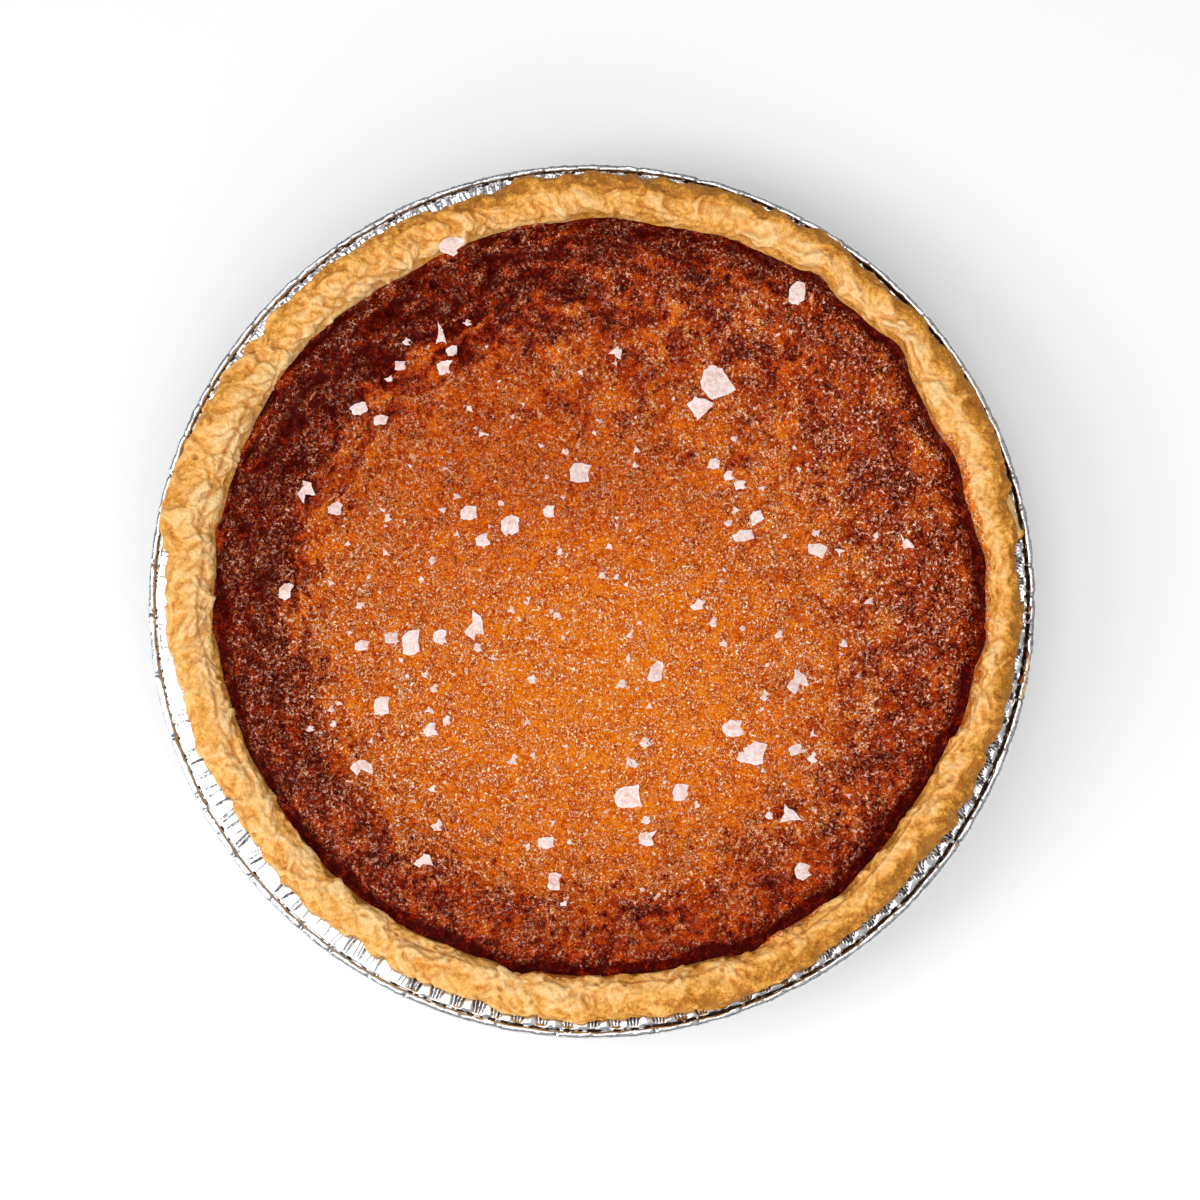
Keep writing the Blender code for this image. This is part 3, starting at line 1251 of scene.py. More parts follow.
    def edge_ring(self, radius: float, level: float, reach: float, index: int) -> tuple[Array, Array]:
        """One ring of the rolled edge, with its lumps and crimps.

        Args:
            radius: The ring's radius.
            level: Its level.
            reach: How much of the lumps and crimps it takes.
            index: The ring's number.

        Returns:
            Radius and level at each fine step.
        """
        lumps = Grain(self.seed + 2)
        share = bearings(self.fine_steps) / FULL_TURN
        lump = lumps.layers(share * 150, index * 0.22, 3, 150)
        draw = np.random.default_rng(self.seed + 3)
        pinch = np.zeros(self.fine_steps)
        bearing = 0.0
        while bearing < FULL_TURN:
            stray = draw.normal(0, 0.001) * index
            away = np.angle(np.exp(1j * (bearings(self.fine_steps) - bearing - stray)))
            width = draw.uniform(0.45, 0.8) / self.rim_radius
            pinch += draw.uniform(0.3, 1.0) * np.exp(-((away / width) ** 2))
            bearing += draw.uniform(6.0, 18.0) / self.rim_radius
        pinch = np.clip(pinch, 0, 1)
        sink = reach * (0.16 * lump - 0.42 * pinch)
        shift = reach * (0.2 * lumps.layers(share * 170, 40 + index * 0.15, 2, 170) - 0.1 * pinch)
        return np.minimum(radius + shift, self.rim_radius), np.minimum(level + sink, self.rim_top)

    def pleated(self, radius: float, level: float) -> Array:
        """Radius of the pleated wall at one level.

        Args:
            radius: Radius of the plain wall.
            level: Height above the table.

        Returns:
            The radius at each coarse step.
        """
        share = bearings(self.coarse_steps) / FULL_TURN
        wave = share * self.pleats * 2
        ridge = 1.0 - np.abs(np.mod(wave, 2.0) - 1.0)
        height = np.array(level)
        depth = self.pleat_depth * float(ease(2.5, 9.0, height) * ease(29.0, 23.0, height))
        wrinkle = Grain(self.seed + 5).smooth(share * 210, level / 9.0, 210)
        return radius + depth * (ridge**0.8) + 0.12 * depth * wrinkle

    def wear(self, turns: Array, radius: float | Array, level: float | Array) -> dict[str, Array]:
        """Where the foil carries painted shade on its dented places, and dark brown dirt with painted
        shade in its groove.

        Args:
            turns: Bearings of the points.
            radius: Their radius.
            level: Their level.

        Returns:
            The named values that the foil's material reads.
        """
        right = self.worn_side(turns)
        above = ease(30.2, 30.5, np.asarray(level))
        bead = above * ease(120.3, 120.7, np.asarray(radius))
        far = np.maximum(hump(turns, 115, 38), 0.7 * right)
        # Painted shade on the dented places of the rolled edge, and on the flange round 118°.
        dulled = bead * (0.55 + 0.35 * far) + above * (1.0 - bead) * 0.7 * hump(turns, 118, 30)
        strength = 0.42 + 0.4 * right + humps(turns, (0.25, 275, 25), (-0.08, 210, 30))
        width = 0.26 + 0.3 * right + 0.16 * hump(turns, 275, 20)
        away = np.abs(radius - self.groove_radius) / width
        groove = above * np.clip(strength * (1.35 - away), 0.0, 1.0)
        return {"dulled": dulled, "groove": groove}

    def build(self) -> Object:
        """Makes the tin."""
        skin = Skin()
        coarse = bearings(self.coarse_steps)
        fine = bearings(self.fine_steps)

        def ring(turns: Array, radius: Any, level: Any, pinched: Any = 0.0) -> Array:
            """Adds one ring of points."""
            places = round_pie(radius, turns, level)
            return skin.add(places, pinched=pinched, **self.wear(turns, radius, level))

        underside = [ring(coarse, radius, 0.0) for radius in self.underside_radii]
        underside += [ring(coarse, r, z) for r, z in self.wall.bend(0.0, 0.0, 6)]
        for level in np.linspace(self.wall_foot, self.wall_head, self.wall_rings):
            underside.append(ring(coarse, self.pleated(self.wall.radius(level), level), level))
        below = []
        for radius in self.back_radii:
            below.append(ring(fine, radius, self.flange_level(radius) - self.foil))
        edge = []
        for index, (radius, level, reach) in enumerate(self.rolled_edge()):
            edge.append(ring(fine, *self.edge_ring(radius, level, reach, index)))
        radii = np.linspace(self.foot_radius, self.throat_radius, self.flange_rings)
        lifts, shades = self.crumple(radii)
        top = []
        for radius, lift, shade in zip(radii, lifts, shades):
            top.append(ring(fine, radius, self.flange_level(radius) + lift, shade))
        inside = [ring(coarse, self.wall.radius(z, self.foil), z) for z in self.lining_levels]
        inside += [ring(coarse, r, z) for r, z in reversed(self.wall.bend(self.foil, self.foil, 3))]
        inside.append(ring(coarse, self.floor_radius, self.foil))
        rows = underside + below + edge[::-1] + top + inside
        skin.bands(rows)
        for row, level in ((rows[0], 0.0), (rows[-1], self.foil)):
            skin.fan(row, level, pinched=0.0, dulled=0.0, groove=0.0)
        return skin.make("foil_tin_pressed", self.finish.material(), crease_deg=50.0)

    def flange_level(self, radius: float | Array) -> float | Array:
        """Level of the flange's upper face at a radius."""
        return self.throat_level + self.flange_slope * (radius - self.throat_radius)


@dataclass(frozen=True)
class Notch:
    """A place where the pastry's edge stands out or in.

    Attributes:
        middle_deg: Its bearing.
        spread_deg: Half its width.
        reach: How far the edge moves outwards there.
    """

    middle_deg: float
    spread_deg: float
    reach: float


@dataclass
class PastryCase:
    """The pastry: a thick hand-pressed edge over the flange, and the case below it."""

    wall: CupLine
    outer: Outline
    inner: Outline
    crest: Outline
    steps: int = 2160
    lip_rings: int = 54
    side_rings: int = 14
    tucked_levels: tuple[float, ...] = (31.4, 32.4)
    inner_level: float = 33.0
    middle_level: float = 34.4
    underside_level: float = 31.1
    top_level: float = 40.45
    shoulder: Section = ((112.2, 30.75), (109.6, 29.1))
    bowl: Section = ((87.2, 5.7), (90.0, 6.6), (94.0, 12.0), (103.5, 26.0))
    gap: float = 0.65
    base_thickness: float = 5.0
    softening: float = 0.9
    outermost: float = 121.4
    outermost_smooth: float = 121.0
    seed: int = 21
    finish: PastryFinish = PastryFinish()
    inner_notches: tuple[Notch, ...] = (
        Notch(5, 4, 1.0), Notch(20, 5, 1.8), Notch(39, 4, 2.0), Notch(55, 3, 1.8),
        Notch(69, 5, 1.6), Notch(88, 8, 0.8), Notch(171, 2.5, 1.4), Notch(185, 4, 1.0),
        Notch(259, 2.5, 1.4), Notch(293, 3.5, 1.9), Notch(309, 4, 0.9), Notch(341, 5, 1.5),
        Notch(353, 3, 1.0),
    )
    outer_notches: tuple[Notch, ...] = (
        Notch(4, 3, -1.4), Notch(11.5, 4, -1.7), Notch(21, 4, 0.8), Notch(40, 2, 0.9),
        Notch(63, 4, 0.7), Notch(91, 3, 1.0), Notch(142, 2, -1.8), Notch(150, 3, 1.2),
        Notch(160, 2, 0.8), Notch(171, 2, 1.0), Notch(184, 2, -1.0), Notch(197, 2.5, -1.3),
        Notch(252, 3, 0.9), Notch(279, 3, 0.8), Notch(303, 3, -1.2), Notch(329, 2, -0.9),
        Notch(342, 3, 0.7),
    )

    def edges(self, turns: Array) -> tuple[Array, Array]:
        """Radius of the inner and of the outer edge, with their notches."""
        grain = Grain(self.seed + 7)
        inner = self.inner.at(turns) + 0.35 * grain.around(turns, 70, 3, across=3.5)
        outer = self.outer.at(turns) + 0.3 * grain.around(turns, 90, 4, across=60.5)
        for notch in self.inner_notches:
            inner = inner + notch.reach * hump(turns, notch.middle_deg, notch.spread_deg * 0.6)
        for notch in self.outer_notches:
            outer = outer + notch.reach * hump(turns, notch.middle_deg, notch.spread_deg * 0.6)
        return inner, np.minimum(outer, self.outermost_smooth)

    def section(self, turns: Array) -> tuple[Array, Array, Array, Array]:
        """The smooth edge in section, from inside the filling, over the top, to the underside.

        Args:
            turns: Bearings of the lines.

        Returns:
            Radius and level of each ring at each bearing, how much relief each ring takes, and
            how far across the edge it lies, 0 inside to 1 outside.
        """
        inner, outer = self.edges(turns)
        crest = self.crest.at(turns)
        middle = (outer + inner) / 2
        half = (outer - inner) / 2
        radii = [inner - 0.15, inner - 0.1]
        levels = [np.full_like(turns, level) for level in self.tucked_levels]
        relief = [0.0, 0.0]
        width = [0.0, 0.0]
        for turn in np.linspace(math.pi, 0.0, self.lip_rings):
            wide = math.copysign(abs(math.cos(turn)) ** 0.9, math.cos(turn))
            tall = max(math.sin(turn), 0.0) ** (0.55 if wide < 0 else 0.75)
            foot = self.inner_level if wide < 0 else self.middle_level
            radii.append(middle + half * wide)
            levels.append(foot + (crest - foot) * tall)
            relief.append(float(ease(0.0, 0.3, np.array(tall))) if wide < 0 else 1.0)
            width.append((wide + 1) / 2)
        for turn in np.linspace(0.0, math.pi / 2, self.side_rings + 1)[1:]:
            radii.append(outer - 2.6 * (1 - math.cos(turn)))
            drop = (self.middle_level - self.underside_level) * math.sin(turn)
            levels.append(np.full_like(turns, self.middle_level - drop))
            relief.append(math.cos(turn) ** 0.5 if turn < 1.55 else 0.0)
            width.append(1.0)
        return np.array(radii), np.array(levels), np.array(relief)[:, None], np.array(width)[:, None]

    def kneading(self, turns: Array, across: Array, width: Array) -> tuple[Array, Array, Array]:
        """Lumps, folds, flaps, cracks and pits left by pressing the dough and baking it.

        Args:
            turns: Bearings of the lines.
            across: Distance of each ring along the section.
            width: How far across the edge each ring lies.

        Returns:
            How far the surface stands out, how much painted shade lies in its cracks, seams, folds,
            pits and hollows, and how high the lumps are.
        """
        lap = turns[None, :] / FULL_TURN
        over = across[:, None]
        bend = Grain(self.seed).layers(lap * 60, over / 9.0, 2, 60)
        lumps = Grain(self.seed + 1).layers(lap * 104 + 0.5 * bend, over / 5.4 + 0.4 * bend, 2, 104)
        folds = Grain(self.seed + 2).smooth(lap * 250 + bend, over / 3.0 + bend, 250)
        knobs = Grain(self.seed + 3).layers(lap * 430 + bend, over / 1.7 + bend, 2, 430)
        near, second, lot = Grain(self.seed + 4).cells(lap * 150 + 1.3 * bend, over / 4.4 + bend, 150)
        flaky = np.clip(humps(turns, (1.0, 160, 38), (0.6, 112, 22)), 0, 1)[None, :]
        flaky = flaky * ease(0.72, 0.45, width)
        flap = (lot - 0.5) + 0.35 * ease(0.0, 0.45, second - near)
        border = ease(0.14, 0.02, second - near) * ease(0.3, 0.7, lot + 0.3 * folds) * flaky
        lap_line = lumps + 0.35 * folds - 0.12
        lapped = ease(-0.1, 0.3, Grain(self.seed + 8).smooth(lap * 46, over / 7.0, 46))
        place, _, chance = Grain(self.seed + 5).cells(lap * 110, over / 6.5, 110)
        pit = ease(0.15, 0.05, place) * (chance > 0.86)
        line = over - 8.5 - 2.2 * Grain(self.seed + 6).layers(lap * 14, np.array(0.5), 3, 14)
        shown = ease(0.0, 0.4, Grain(self.seed + 6).smooth(lap * 26, np.array(9.5), 26))
        shown = np.maximum(shown, ease(0.3, 0.7, hump(turns, 188, 18)))
        ledge = shown * np.tanh(line / 0.4)
        # Painted shadow line under each ledge.
        seam = shown * np.exp(-(((line + 0.3) / 0.35) ** 2))
        out = 0.75 * lumps + 0.36 * folds + 0.2 * knobs + 0.9 * flaky * flap
        out = out + 0.3 * lapped * np.tanh(lap_line / 0.09) + 0.32 * ledge
        out = out - 0.25 * border - 0.6 * pit - 0.2
        fold_line = lapped * np.exp(-(((lap_line + 0.07) / 0.07) ** 2))
        # Painted shade in hollows: darker where the surface lies below its neighbours.
        beside = (np.roll(out, 4, axis=1) + np.roll(out, -4, axis=1)) / 4
        beside = beside + (np.roll(out, 3, axis=0) + np.roll(out, -3, axis=0)) / 4
        hollow = np.clip((beside - out) / 0.2, 0.0, 1.0)
        # Painted shade along the cracks between flaps, the seams under ledges, the folds' steps, the
        # pits and the hollows.
        crack = 0.4 * border + 0.6 * seam + 0.5 * fold_line + 0.7 * pit + 0.45 * hollow
        rise = lumps + 0.5 * folds + 0.25 * knobs + 0.8 * flaky * flap
        return out, np.clip(crack, 0.0, 1.0), rise

    def browning(self, turns: Array, width: Array, lumps: Array) -> tuple[Array, Array]:
        """How brown the pastry is, with painted light and shade, and where bubbled honey clings to it.

        Args:
            turns: Bearings of the lines.
            width: How far across the edge each ring lies.
            lumps: How high the lumps stand.

        Returns:
            Browning with painted light and shade, and stain, 0 to 1.
        """
        rim = ease(0.4, 0.95, width)
        # Browner on the right and at the top; on the right this is partly painted shade of the outer
        # side that faces away from the light.
        browner = humps(turns, (0.5, 72, 26), (0.42, 325, 38), (0.28, 25, 25))
        browner += humps(turns, (-0.2, 135, 28), (-0.1, 200, 24), (-0.2, 255, 28))
        middle = humps(turns, (0.14, 0, 30), (0.22, 305, 22), (0.34, 88, 17), (0.26, 128, 24))
        # Paler on the lumps' tops and browner in the lows: painted light and shade.
        toast = 0.36 + 0.2 * rim + browner[None, :] * rim * 0.8 - 0.26 * lumps + middle[None, :]
        far = hump(turns, 100, 38)[None, :]
        toast = toast + 0.3 * (1.0 - far) * ease(0.045, 0.0, width)
        # Painted light: the inner edge round 135° paler, where it faces away from the lamps.
        toast = toast - 0.35 * hump(turns, 135, 32)[None, :] * ease(0.25, 0.05, width)
        inside = ease(0.05 * (1.0 - far) - 0.01, 0.2, width) * ease(0.6, 0.4, width)
        toast = toast - 0.14 * inside - 0.12 * far * (1.0 - rim)
        clings = humps(turns, (0.17, 14, 8), (0.08, 348, 9), (0.1, 266, 5))
        clings = clings + humps(turns, (0.06, 300, 7), (0.05, 40, 6))
        ragged = 0.05 * Grain(self.seed + 9).around(turns, 120, 3)
        reach = clings * (1.0 - far[0]) + ragged * (clings > 0.02) - 0.1 * far[0] - 0.01
        stain = 0.5 + (reach - width) / 0.14
        return np.clip(toast, 0.0, 1.0), np.clip(stain, 0.0, 1.0)

    def build(self) -> Object:
        """Makes the pastry."""
        turns = bearings(self.steps)
        radii, levels, relief, width = self.section(turns)
        lengths = np.hypot(np.diff(radii.mean(axis=1)), np.diff(levels.mean(axis=1)))
        across = np.concatenate([[0.0], np.cumsum(lengths)])
        out, crack, lumps = self.kneading(turns, across, width)
        along_r = np.gradient(radii, axis=0)
        along_z = np.gradient(levels, axis=0)
        size = np.hypot(along_r, along_z) + 1e-9
        push = out * relief
        radii = np.minimum(radii - push * along_z / size, self.outermost)
        levels = levels + push * along_r / size
        knee = self.top_level - self.softening
        capped = knee + self.softening * np.tanh((levels - knee) / self.softening)
        levels = np.where(levels > knee, capped, levels)
        toast, stain = self.browning(turns, width, lumps)
        skin = Skin()
        places = round_pie(radii, turns, levels)
        rows = list(skin.add(places, toast=toast, stain=stain, crack=crack * relief))
        outside = [*self.shoulder, *reversed(self.wall.bend(self.gap, self.gap, 3))]
        plain = {"toast": 0.3, "stain": 0.0, "crack": 0.0}
        for radius, level in (*outside, *self.bowl):
            rows.append(skin.add(round_pie(radius, turns, level), **plain))
        split = len(radii) + len(outside)
        skin.bands(rows[:split])
        skin.bands(rows[split:])
        skin.band(rows[-1], rows[0])
        skin.fan(rows[split - 1], self.gap, **plain)
        skin.fan(rows[split], self.gap + self.base_thickness, **plain)
        return skin.make("pastry_case_baked", self.finish.material())


@dataclass
class HoneyFilling:
    """The filling: puffed beside the pastry, sunken in the middle, rippled and full of bubbles.

    Attributes:
        edge: Its outline, where it meets the pastry.
        cells: Faces along each side of the net of its upper face.
        tuck: How far the net reaches under the pastry.
        tuck_level: Level of the first ring below the net.
        seat: Radius and level of the rings below that, the last one round its underside.
        palest: Where it is baked least, along x and y.
        section: Level at each share of the radius.
        pits: Each pit's place along x and y, and its radius.
    """

    edge: Outline
    cells: int = 400
    tuck: float = 1.0
    tuck_level: float = 31.4
    seat: Section = ((103.2, 26.0), (93.5, 12.0), (89.4, 6.6), (87.0, 5.95))
    palest: tuple[float, float] = (2.0, -28.0)
    seed: int = 40
    section: Section = (
        (0.0, 29.4), (0.31, 29.65), (0.5, 29.95), (0.62, 30.35), (0.72, 31.2), (0.8, 32.5),
        (0.86, 33.6), (0.91, 34.2), (0.96, 34.1), (0.985, 33.5), (1.0, 32.9), (1.02, 32.6),
    )
    pits: tuple[tuple[float, float, float], ...] = (
        (-21.6, 100.5, 1.5), (-23.5, 97.8, 0.7), (-44.2, 87.0, 1.4), (-38.8, 93.8, 0.9),
        (-43.2, 91.6, 0.6), (-56.5, 79.0, 1.3), (-55.2, 82.0, 0.7), (38.0, 89.0, 0.9),
    )
    finish: HoneyFinish = HoneyFinish()

    def share_of_radius(self, east: Array, north: Array) -> tuple[Array, Array]:
        """How far out a point lies, 1 at the pastry, and its bearing."""
        turns = np.mod(np.arctan2(north, east), FULL_TURN)
        return np.hypot(east, north) / self.edge.at(turns), turns

    def folds(self, share: Array, turns: Array) -> tuple[Array, Array, Array]:
        """The folds that baking left: belts along the edge, rays across it and lumps on the ring.

        Args:
            share: How far out each point lies, 1 at the pastry.
            turns: Each point's bearing.

        Returns:
            Height of the belts, of the rays and of the lumps, about -1 to 1 where they run, else 0.
        """
        lap = turns / FULL_TURN
        warp = Grain(self.seed + 6).layers(lap * 30, share * 12, 2, 30)
        belts = Grain(self.seed + 5).layers(lap * 56 + 0.5 * warp, share * 30 + 0.8 * warp, 2, 56)
        left = humps(turns, (1.0, 172, 40), (0.9, 112, 32), (0.35, 300, 50))
        belts = belts * np.clip(left, 0, 1) * ease(0.62, 0.74, share)
        rays = Grain(self.seed + 3).layers(lap * 74 + 1.3 * warp, share * 9 + 0.5 * warp, 2, 74)
        right = humps(turns, (1.0, 55, 45), (0.6, 345, 25))
        rays = rays * np.clip(right, 0, 1) * ease(0.32, 0.5, share)
        lumps = Grain(self.seed + 2).layers(lap * 150 + warp, share * 36 + warp, 2, 150)
        return belts, rays, lumps * ease(0.6, 0.82, share)

    def relief(self, east: Array, north: Array) -> tuple[Array, Array]:
        """Level of the surface, and how open a bubble is there.

        Args:
            east: Places along x.
            north: Places along y.

        Returns:
            Level, and openness: 0 where whole, 1 in a bubble, 2 in a pit and less than 0 on its lip.
        """
        share, turns = self.share_of_radius(east, north)
        grain = Grain(self.seed)
        level = np.interp(share, *zip(*self.section))
        swell = 0.5 + 0.6 * ease(0.68, 0.84, share)
        level = level + 0.4 * grain.layers(east / 17.0, north / 17.0, 2) * swell
        belts, rays, lumps = self.folds(share, turns)
        level += 0.6 * belts + 0.45 * rays + 0.28 * lumps
        rough = 0.3 + 0.7 * ease(0.6, 0.8, share)
        level += 0.16 * rough * Grain(self.seed + 7).layers(east / 2.2, north / 2.2, 2)
        near, _, lot = Grain(self.seed + 1).cells(east / 3.1, north / 3.1)
        crater = ease(0.4, 0.14, near) - 0.45 * ease(0.62, 0.42, near) * ease(0.3, 0.45, near)
        open_bubble = crater * (lot > 0.72)
        level -= 0.45 * open_bubble * rough
        for pit_east, pit_north, radius in self.pits:
            away = np.hypot(east - pit_east, north - pit_north)
            pit = ease(1.15 * radius, 0.6 * radius, away)
            lip = ease(2.6 * radius, 1.4 * radius, away)
            level += radius * (0.15 * lip - 1.05 * pit)
            open_bubble = np.maximum(open_bubble, 2.0 * pit) - 0.9 * lip * (1.0 - pit)
        line = self.grooved(share, turns)
        level -= 1.5 * line
        return level, np.clip(open_bubble, -1.0, 2.0) * rough

    def grooved(self, share: Array, turns: Array) -> Array:
        """The narrow groove beside the pastry, deepest at the right: 0 to 1."""
        depth = 0.3 + humps(turns, (1.0, 5, 30), (0.7, 325, 14))
        depth += 0.35 * Grain(self.seed + 8).around(turns, 40, 1)
        return np.clip(depth, 0.0, 1.0) * ease(0.94, 0.972, share) * ease(1.005, 0.985, share)

    def height(self, east: Array, north: Array) -> Array:
        """Level of the surface alone."""
        return self.relief(east, north)[0]

    def roast(self, east: Array, north: Array) -> Array:
        """How dark the filling is baked, with painted shade in its groove and folds, 0 pale amber to 1
        nearly black.
        """
        share, turns = self.share_of_radius(east, north)
        away = np.hypot(east - self.palest[0], north - self.palest[1])
        tone = 0.12 + 0.28 * ease(2.0, 95.0, away)
        tone += 0.27 * ease(0.66, 0.86, share) + 0.08 * ease(0.9, 0.99, share)
        tone += 0.14 * hump(turns, 10, 38) * ease(0.55, 0.68, share) * ease(0.98, 0.84, share)
        tone += 0.46 * hump(turns, 177, 40) * ease(0.77, 0.84, share) * ease(1.0, 0.92, share)
        tone += 0.17 * hump(turns, 104, 34) * ease(0.76, 0.86, share)
        tone -= humps(turns, (0.18, 52, 28), (0.1, 222, 20)) * ease(0.72, 0.8, share)
        foot = 0.07 * ease(0.6, 0.7, share) * ease(0.9, 0.82, share)
        tone += hump(turns, 88, 46) * (0.1 * ease(0.08, 0.3, share) + foot)
        belts, rays, lumps = self.folds(share, turns)
        # Painted shade and light: darker in the folds' hollows and paler on their ridges.
        tone -= 0.34 * belts + 0.26 * rays + 0.13 * lumps
        patchy = 0.09 + 0.09 * ease(0.6, 0.8, share)
        tone += patchy * Grain(self.seed + 4).layers(east / 9.0, north / 9.0, 3)
        # Painted shade in the groove beside the pastry.
        tone += 0.45 * self.grooved(share, turns)
        pale = humps(turns, (0.55, 128, 36), (0.14, 210, 34))
        tone += (0.34 - pale) * ease(0.958, 0.98, share)
        return np.clip(tone, 0.0, 1.0)

    def frothed(self, east: Array, north: Array) -> Array:
        """How much painted highlight lies there: little beside the pastry and in the dark folds, 0 to
        1.
        """
        share, turns = self.share_of_radius(east, north)
        wave = 0.012 * Grain(self.seed + 9).around(turns, 60, 2)
        calm = 0.75 + humps(turns, (0.1, 0, 40), (-0.62, 122, 38), (-0.25, 205, 30))
        calm = calm * ease(0.962, 0.982, share + wave)
        thin = humps(turns, (0.42, 104, 36), (0.2, 172, 40)) * ease(0.66, 0.8, share)
        thin = thin * (1.0 - 0.7 * ease(0.93, 0.97, share))
        thin += (0.4 - 0.38 * hump(turns, 30, 50)) * ease(0.8, 0.88, share)
        thin += hump(turns, 96, 50) * (0.12 + 0.2 * ease(0.84, 0.7, share))
        thin += (0.26 * ease(0.45, 0.62, share) + 0.1 * ease(0.8, 0.86, share)) * hump(turns, 290, 36)
        thin += 0.28 * hump(turns, 135, 26) * ease(0.12, 0.3, share) * ease(0.86, 0.8, share)
        thin += 0.14 * hump(turns, 60, 32) * ease(0.8, 0.7, share)
        belts, rays, lumps = self.folds(share, turns)
        return np.clip(1.0 - calm - thin + 0.4 * (belts + rays + 0.7 * lumps), 0.0, 1.0)

    def build(self) -> Object:
        """Makes the filling."""
        ticks = np.linspace(-1.0, 1.0, self.cells + 1)
        first, second = np.meshgrid(ticks, ticks, indexing="ij")
        wide = np.abs(first) > np.abs(second)
        reach = np.where(wide, first, second)
        safe = np.where(reach == 0, 1.0, reach)
        angle = np.where(wide, math.pi / 4 * second / safe, math.pi / 2 - math.pi / 4 * first / safe)
        turns = np.mod(np.where(reach < 0, angle + math.pi, angle), FULL_TURN)
        distance = np.abs(reach) * (self.edge.at(turns) + self.tuck)
        east = distance * np.cos(turns)
        north = distance * np.sin(turns)
        level, openness = self.relief(east, north)
        # How much painted highlight each point carries: less in open bubbles, none inside the pits.
        froth = self.frothed(east, north) * np.clip(1.8 - openness, 0.0, 1.0)
        skin = Skin()
        # Painted shade in the open bubbles and pits, paler on their lips.
        roast = self.roast(east, north) + 0.3 * openness
        top = skin.add(np.stack([east, north, level], axis=-1), roast=roast, froth=froth)
        skin.sheet(top)
        rows = [outskirts(top)]
        flat = np.concatenate(skin.points)[rows[0]]
        turns = np.arctan2(flat[:, 1], flat[:, 0])
        tucked = self.edge.at(np.mod(turns, FULL_TURN)) - 0.4
        for radius, depth in ((tucked, self.tuck_level), *self.seat):
            rows.append(skin.add(round_pie(radius, turns, depth), roast=0.5, froth=0.0))
        skin.bands(rows)
        skin.fan(rows[-1], self.seat[-1][1], roast=0.5, froth=0.0)
        return skin.make("honey_filling_baked", self.finish.material())


class Surface:
    """The upper face of finished pieces, to lay small things on."""

    def __init__(self, pieces: Sequence[Object], fallback: float) -> None:
        """Reads the pieces' faces.

        Args:
            pieces: The pieces.
            fallback: Level given where none of them lies.
        """
        points: list[Vector] = []
        faces: list[list[int]] = []
        for piece in pieces:
            shift = len(points)
            points += [vertex.co / MM for vertex in piece.data.vertices]
            faces += [[shift + corner for corner in face.vertices] for face in piece.data.polygons]
        self.tree = BVHTree.FromPolygons(points, faces)
        self.fallback = fallback

    def height(self, east: Array, north: Array) -> Array:
        """Level of the highest face over each place.

        Args:
            east: Places along x.
            north: Places along y.

        Returns:
            The levels.
        """
        levels = []
        for x, y in zip(np.ravel(east), np.ravel(north)):
            hit = self.tree.ray_cast(Vector((x, y, 80.0)), Vector((0.0, 0.0, -1.0)))[0]
            levels.append(self.fallback if hit is None else hit.z)
        return np.array(levels)


class FlakeForm(Enum):
    """The shapes that salt flakes break into, as corners round their middle."""

    SLAB = (
        (-0.97, 0.27), (-0.5, 0.76), (0.1, 1.0), (0.6, 0.6),
        (0.7, 0.0), (1.0, -0.76), (-0.6, -0.98), (-0.97, -0.1),
    )
    FIN = (
        (-1.0, 0.3), (-0.4, 1.0), (0.25, 0.7), (1.0, 0.2),
        (0.35, -0.25), (-0.33, -1.0), (-0.9, -0.4),
    )
    PLATE = (
        (-0.8, -0.9), (0.1, -1.0), (1.0, -0.7), (0.8, 0.1),
        (0.95, 0.9), (-0.1, 1.0), (-0.7, 0.6), (-1.0, 0.2),
    )
    CHIP = ((-1.0, -0.3), (-0.2, -1.0), (0.9, -0.7), (0.5, 0.0), (1.0, 0.4), (0.1, 1.0), (-0.4, 0.3))
    SHARD = ((-1.0, -0.9), (-0.1, -0.6), (0.9, -1.0), (0.5, 0.2), (0.1, 0.4), (-0.3, 1.0), (-0.5, 0.1))
    WING = ((-1.0, -0.3), (-0.2, -1.0), (0.1, -0.3), (1.0, -0.5), (0.8, 0.7), (0.0, 1.0), (-0.2, 0.3))
    BOWL = (
        (-0.9, 0.1), (-0.6, -0.8), (0.3, -1.0), (0.7, -0.6),
        (0.5, -0.2), (1.0, 0.3), (0.8, 0.9), (-0.2, 0.8),
    )


@dataclass(frozen=True)
class Flake:
    """One large salt flake, placed by the pixel that it shows at.

    Attributes:
        column: Pixels from the frame's left side.
        row: Pixels from its top.
        width: Its width in pixels.
        length: Its length in pixels.
        form: Its shape.
    """

    column: float
    row: float
    width: float
    length: float
    form: FlakeForm = FlakeForm.PLATE


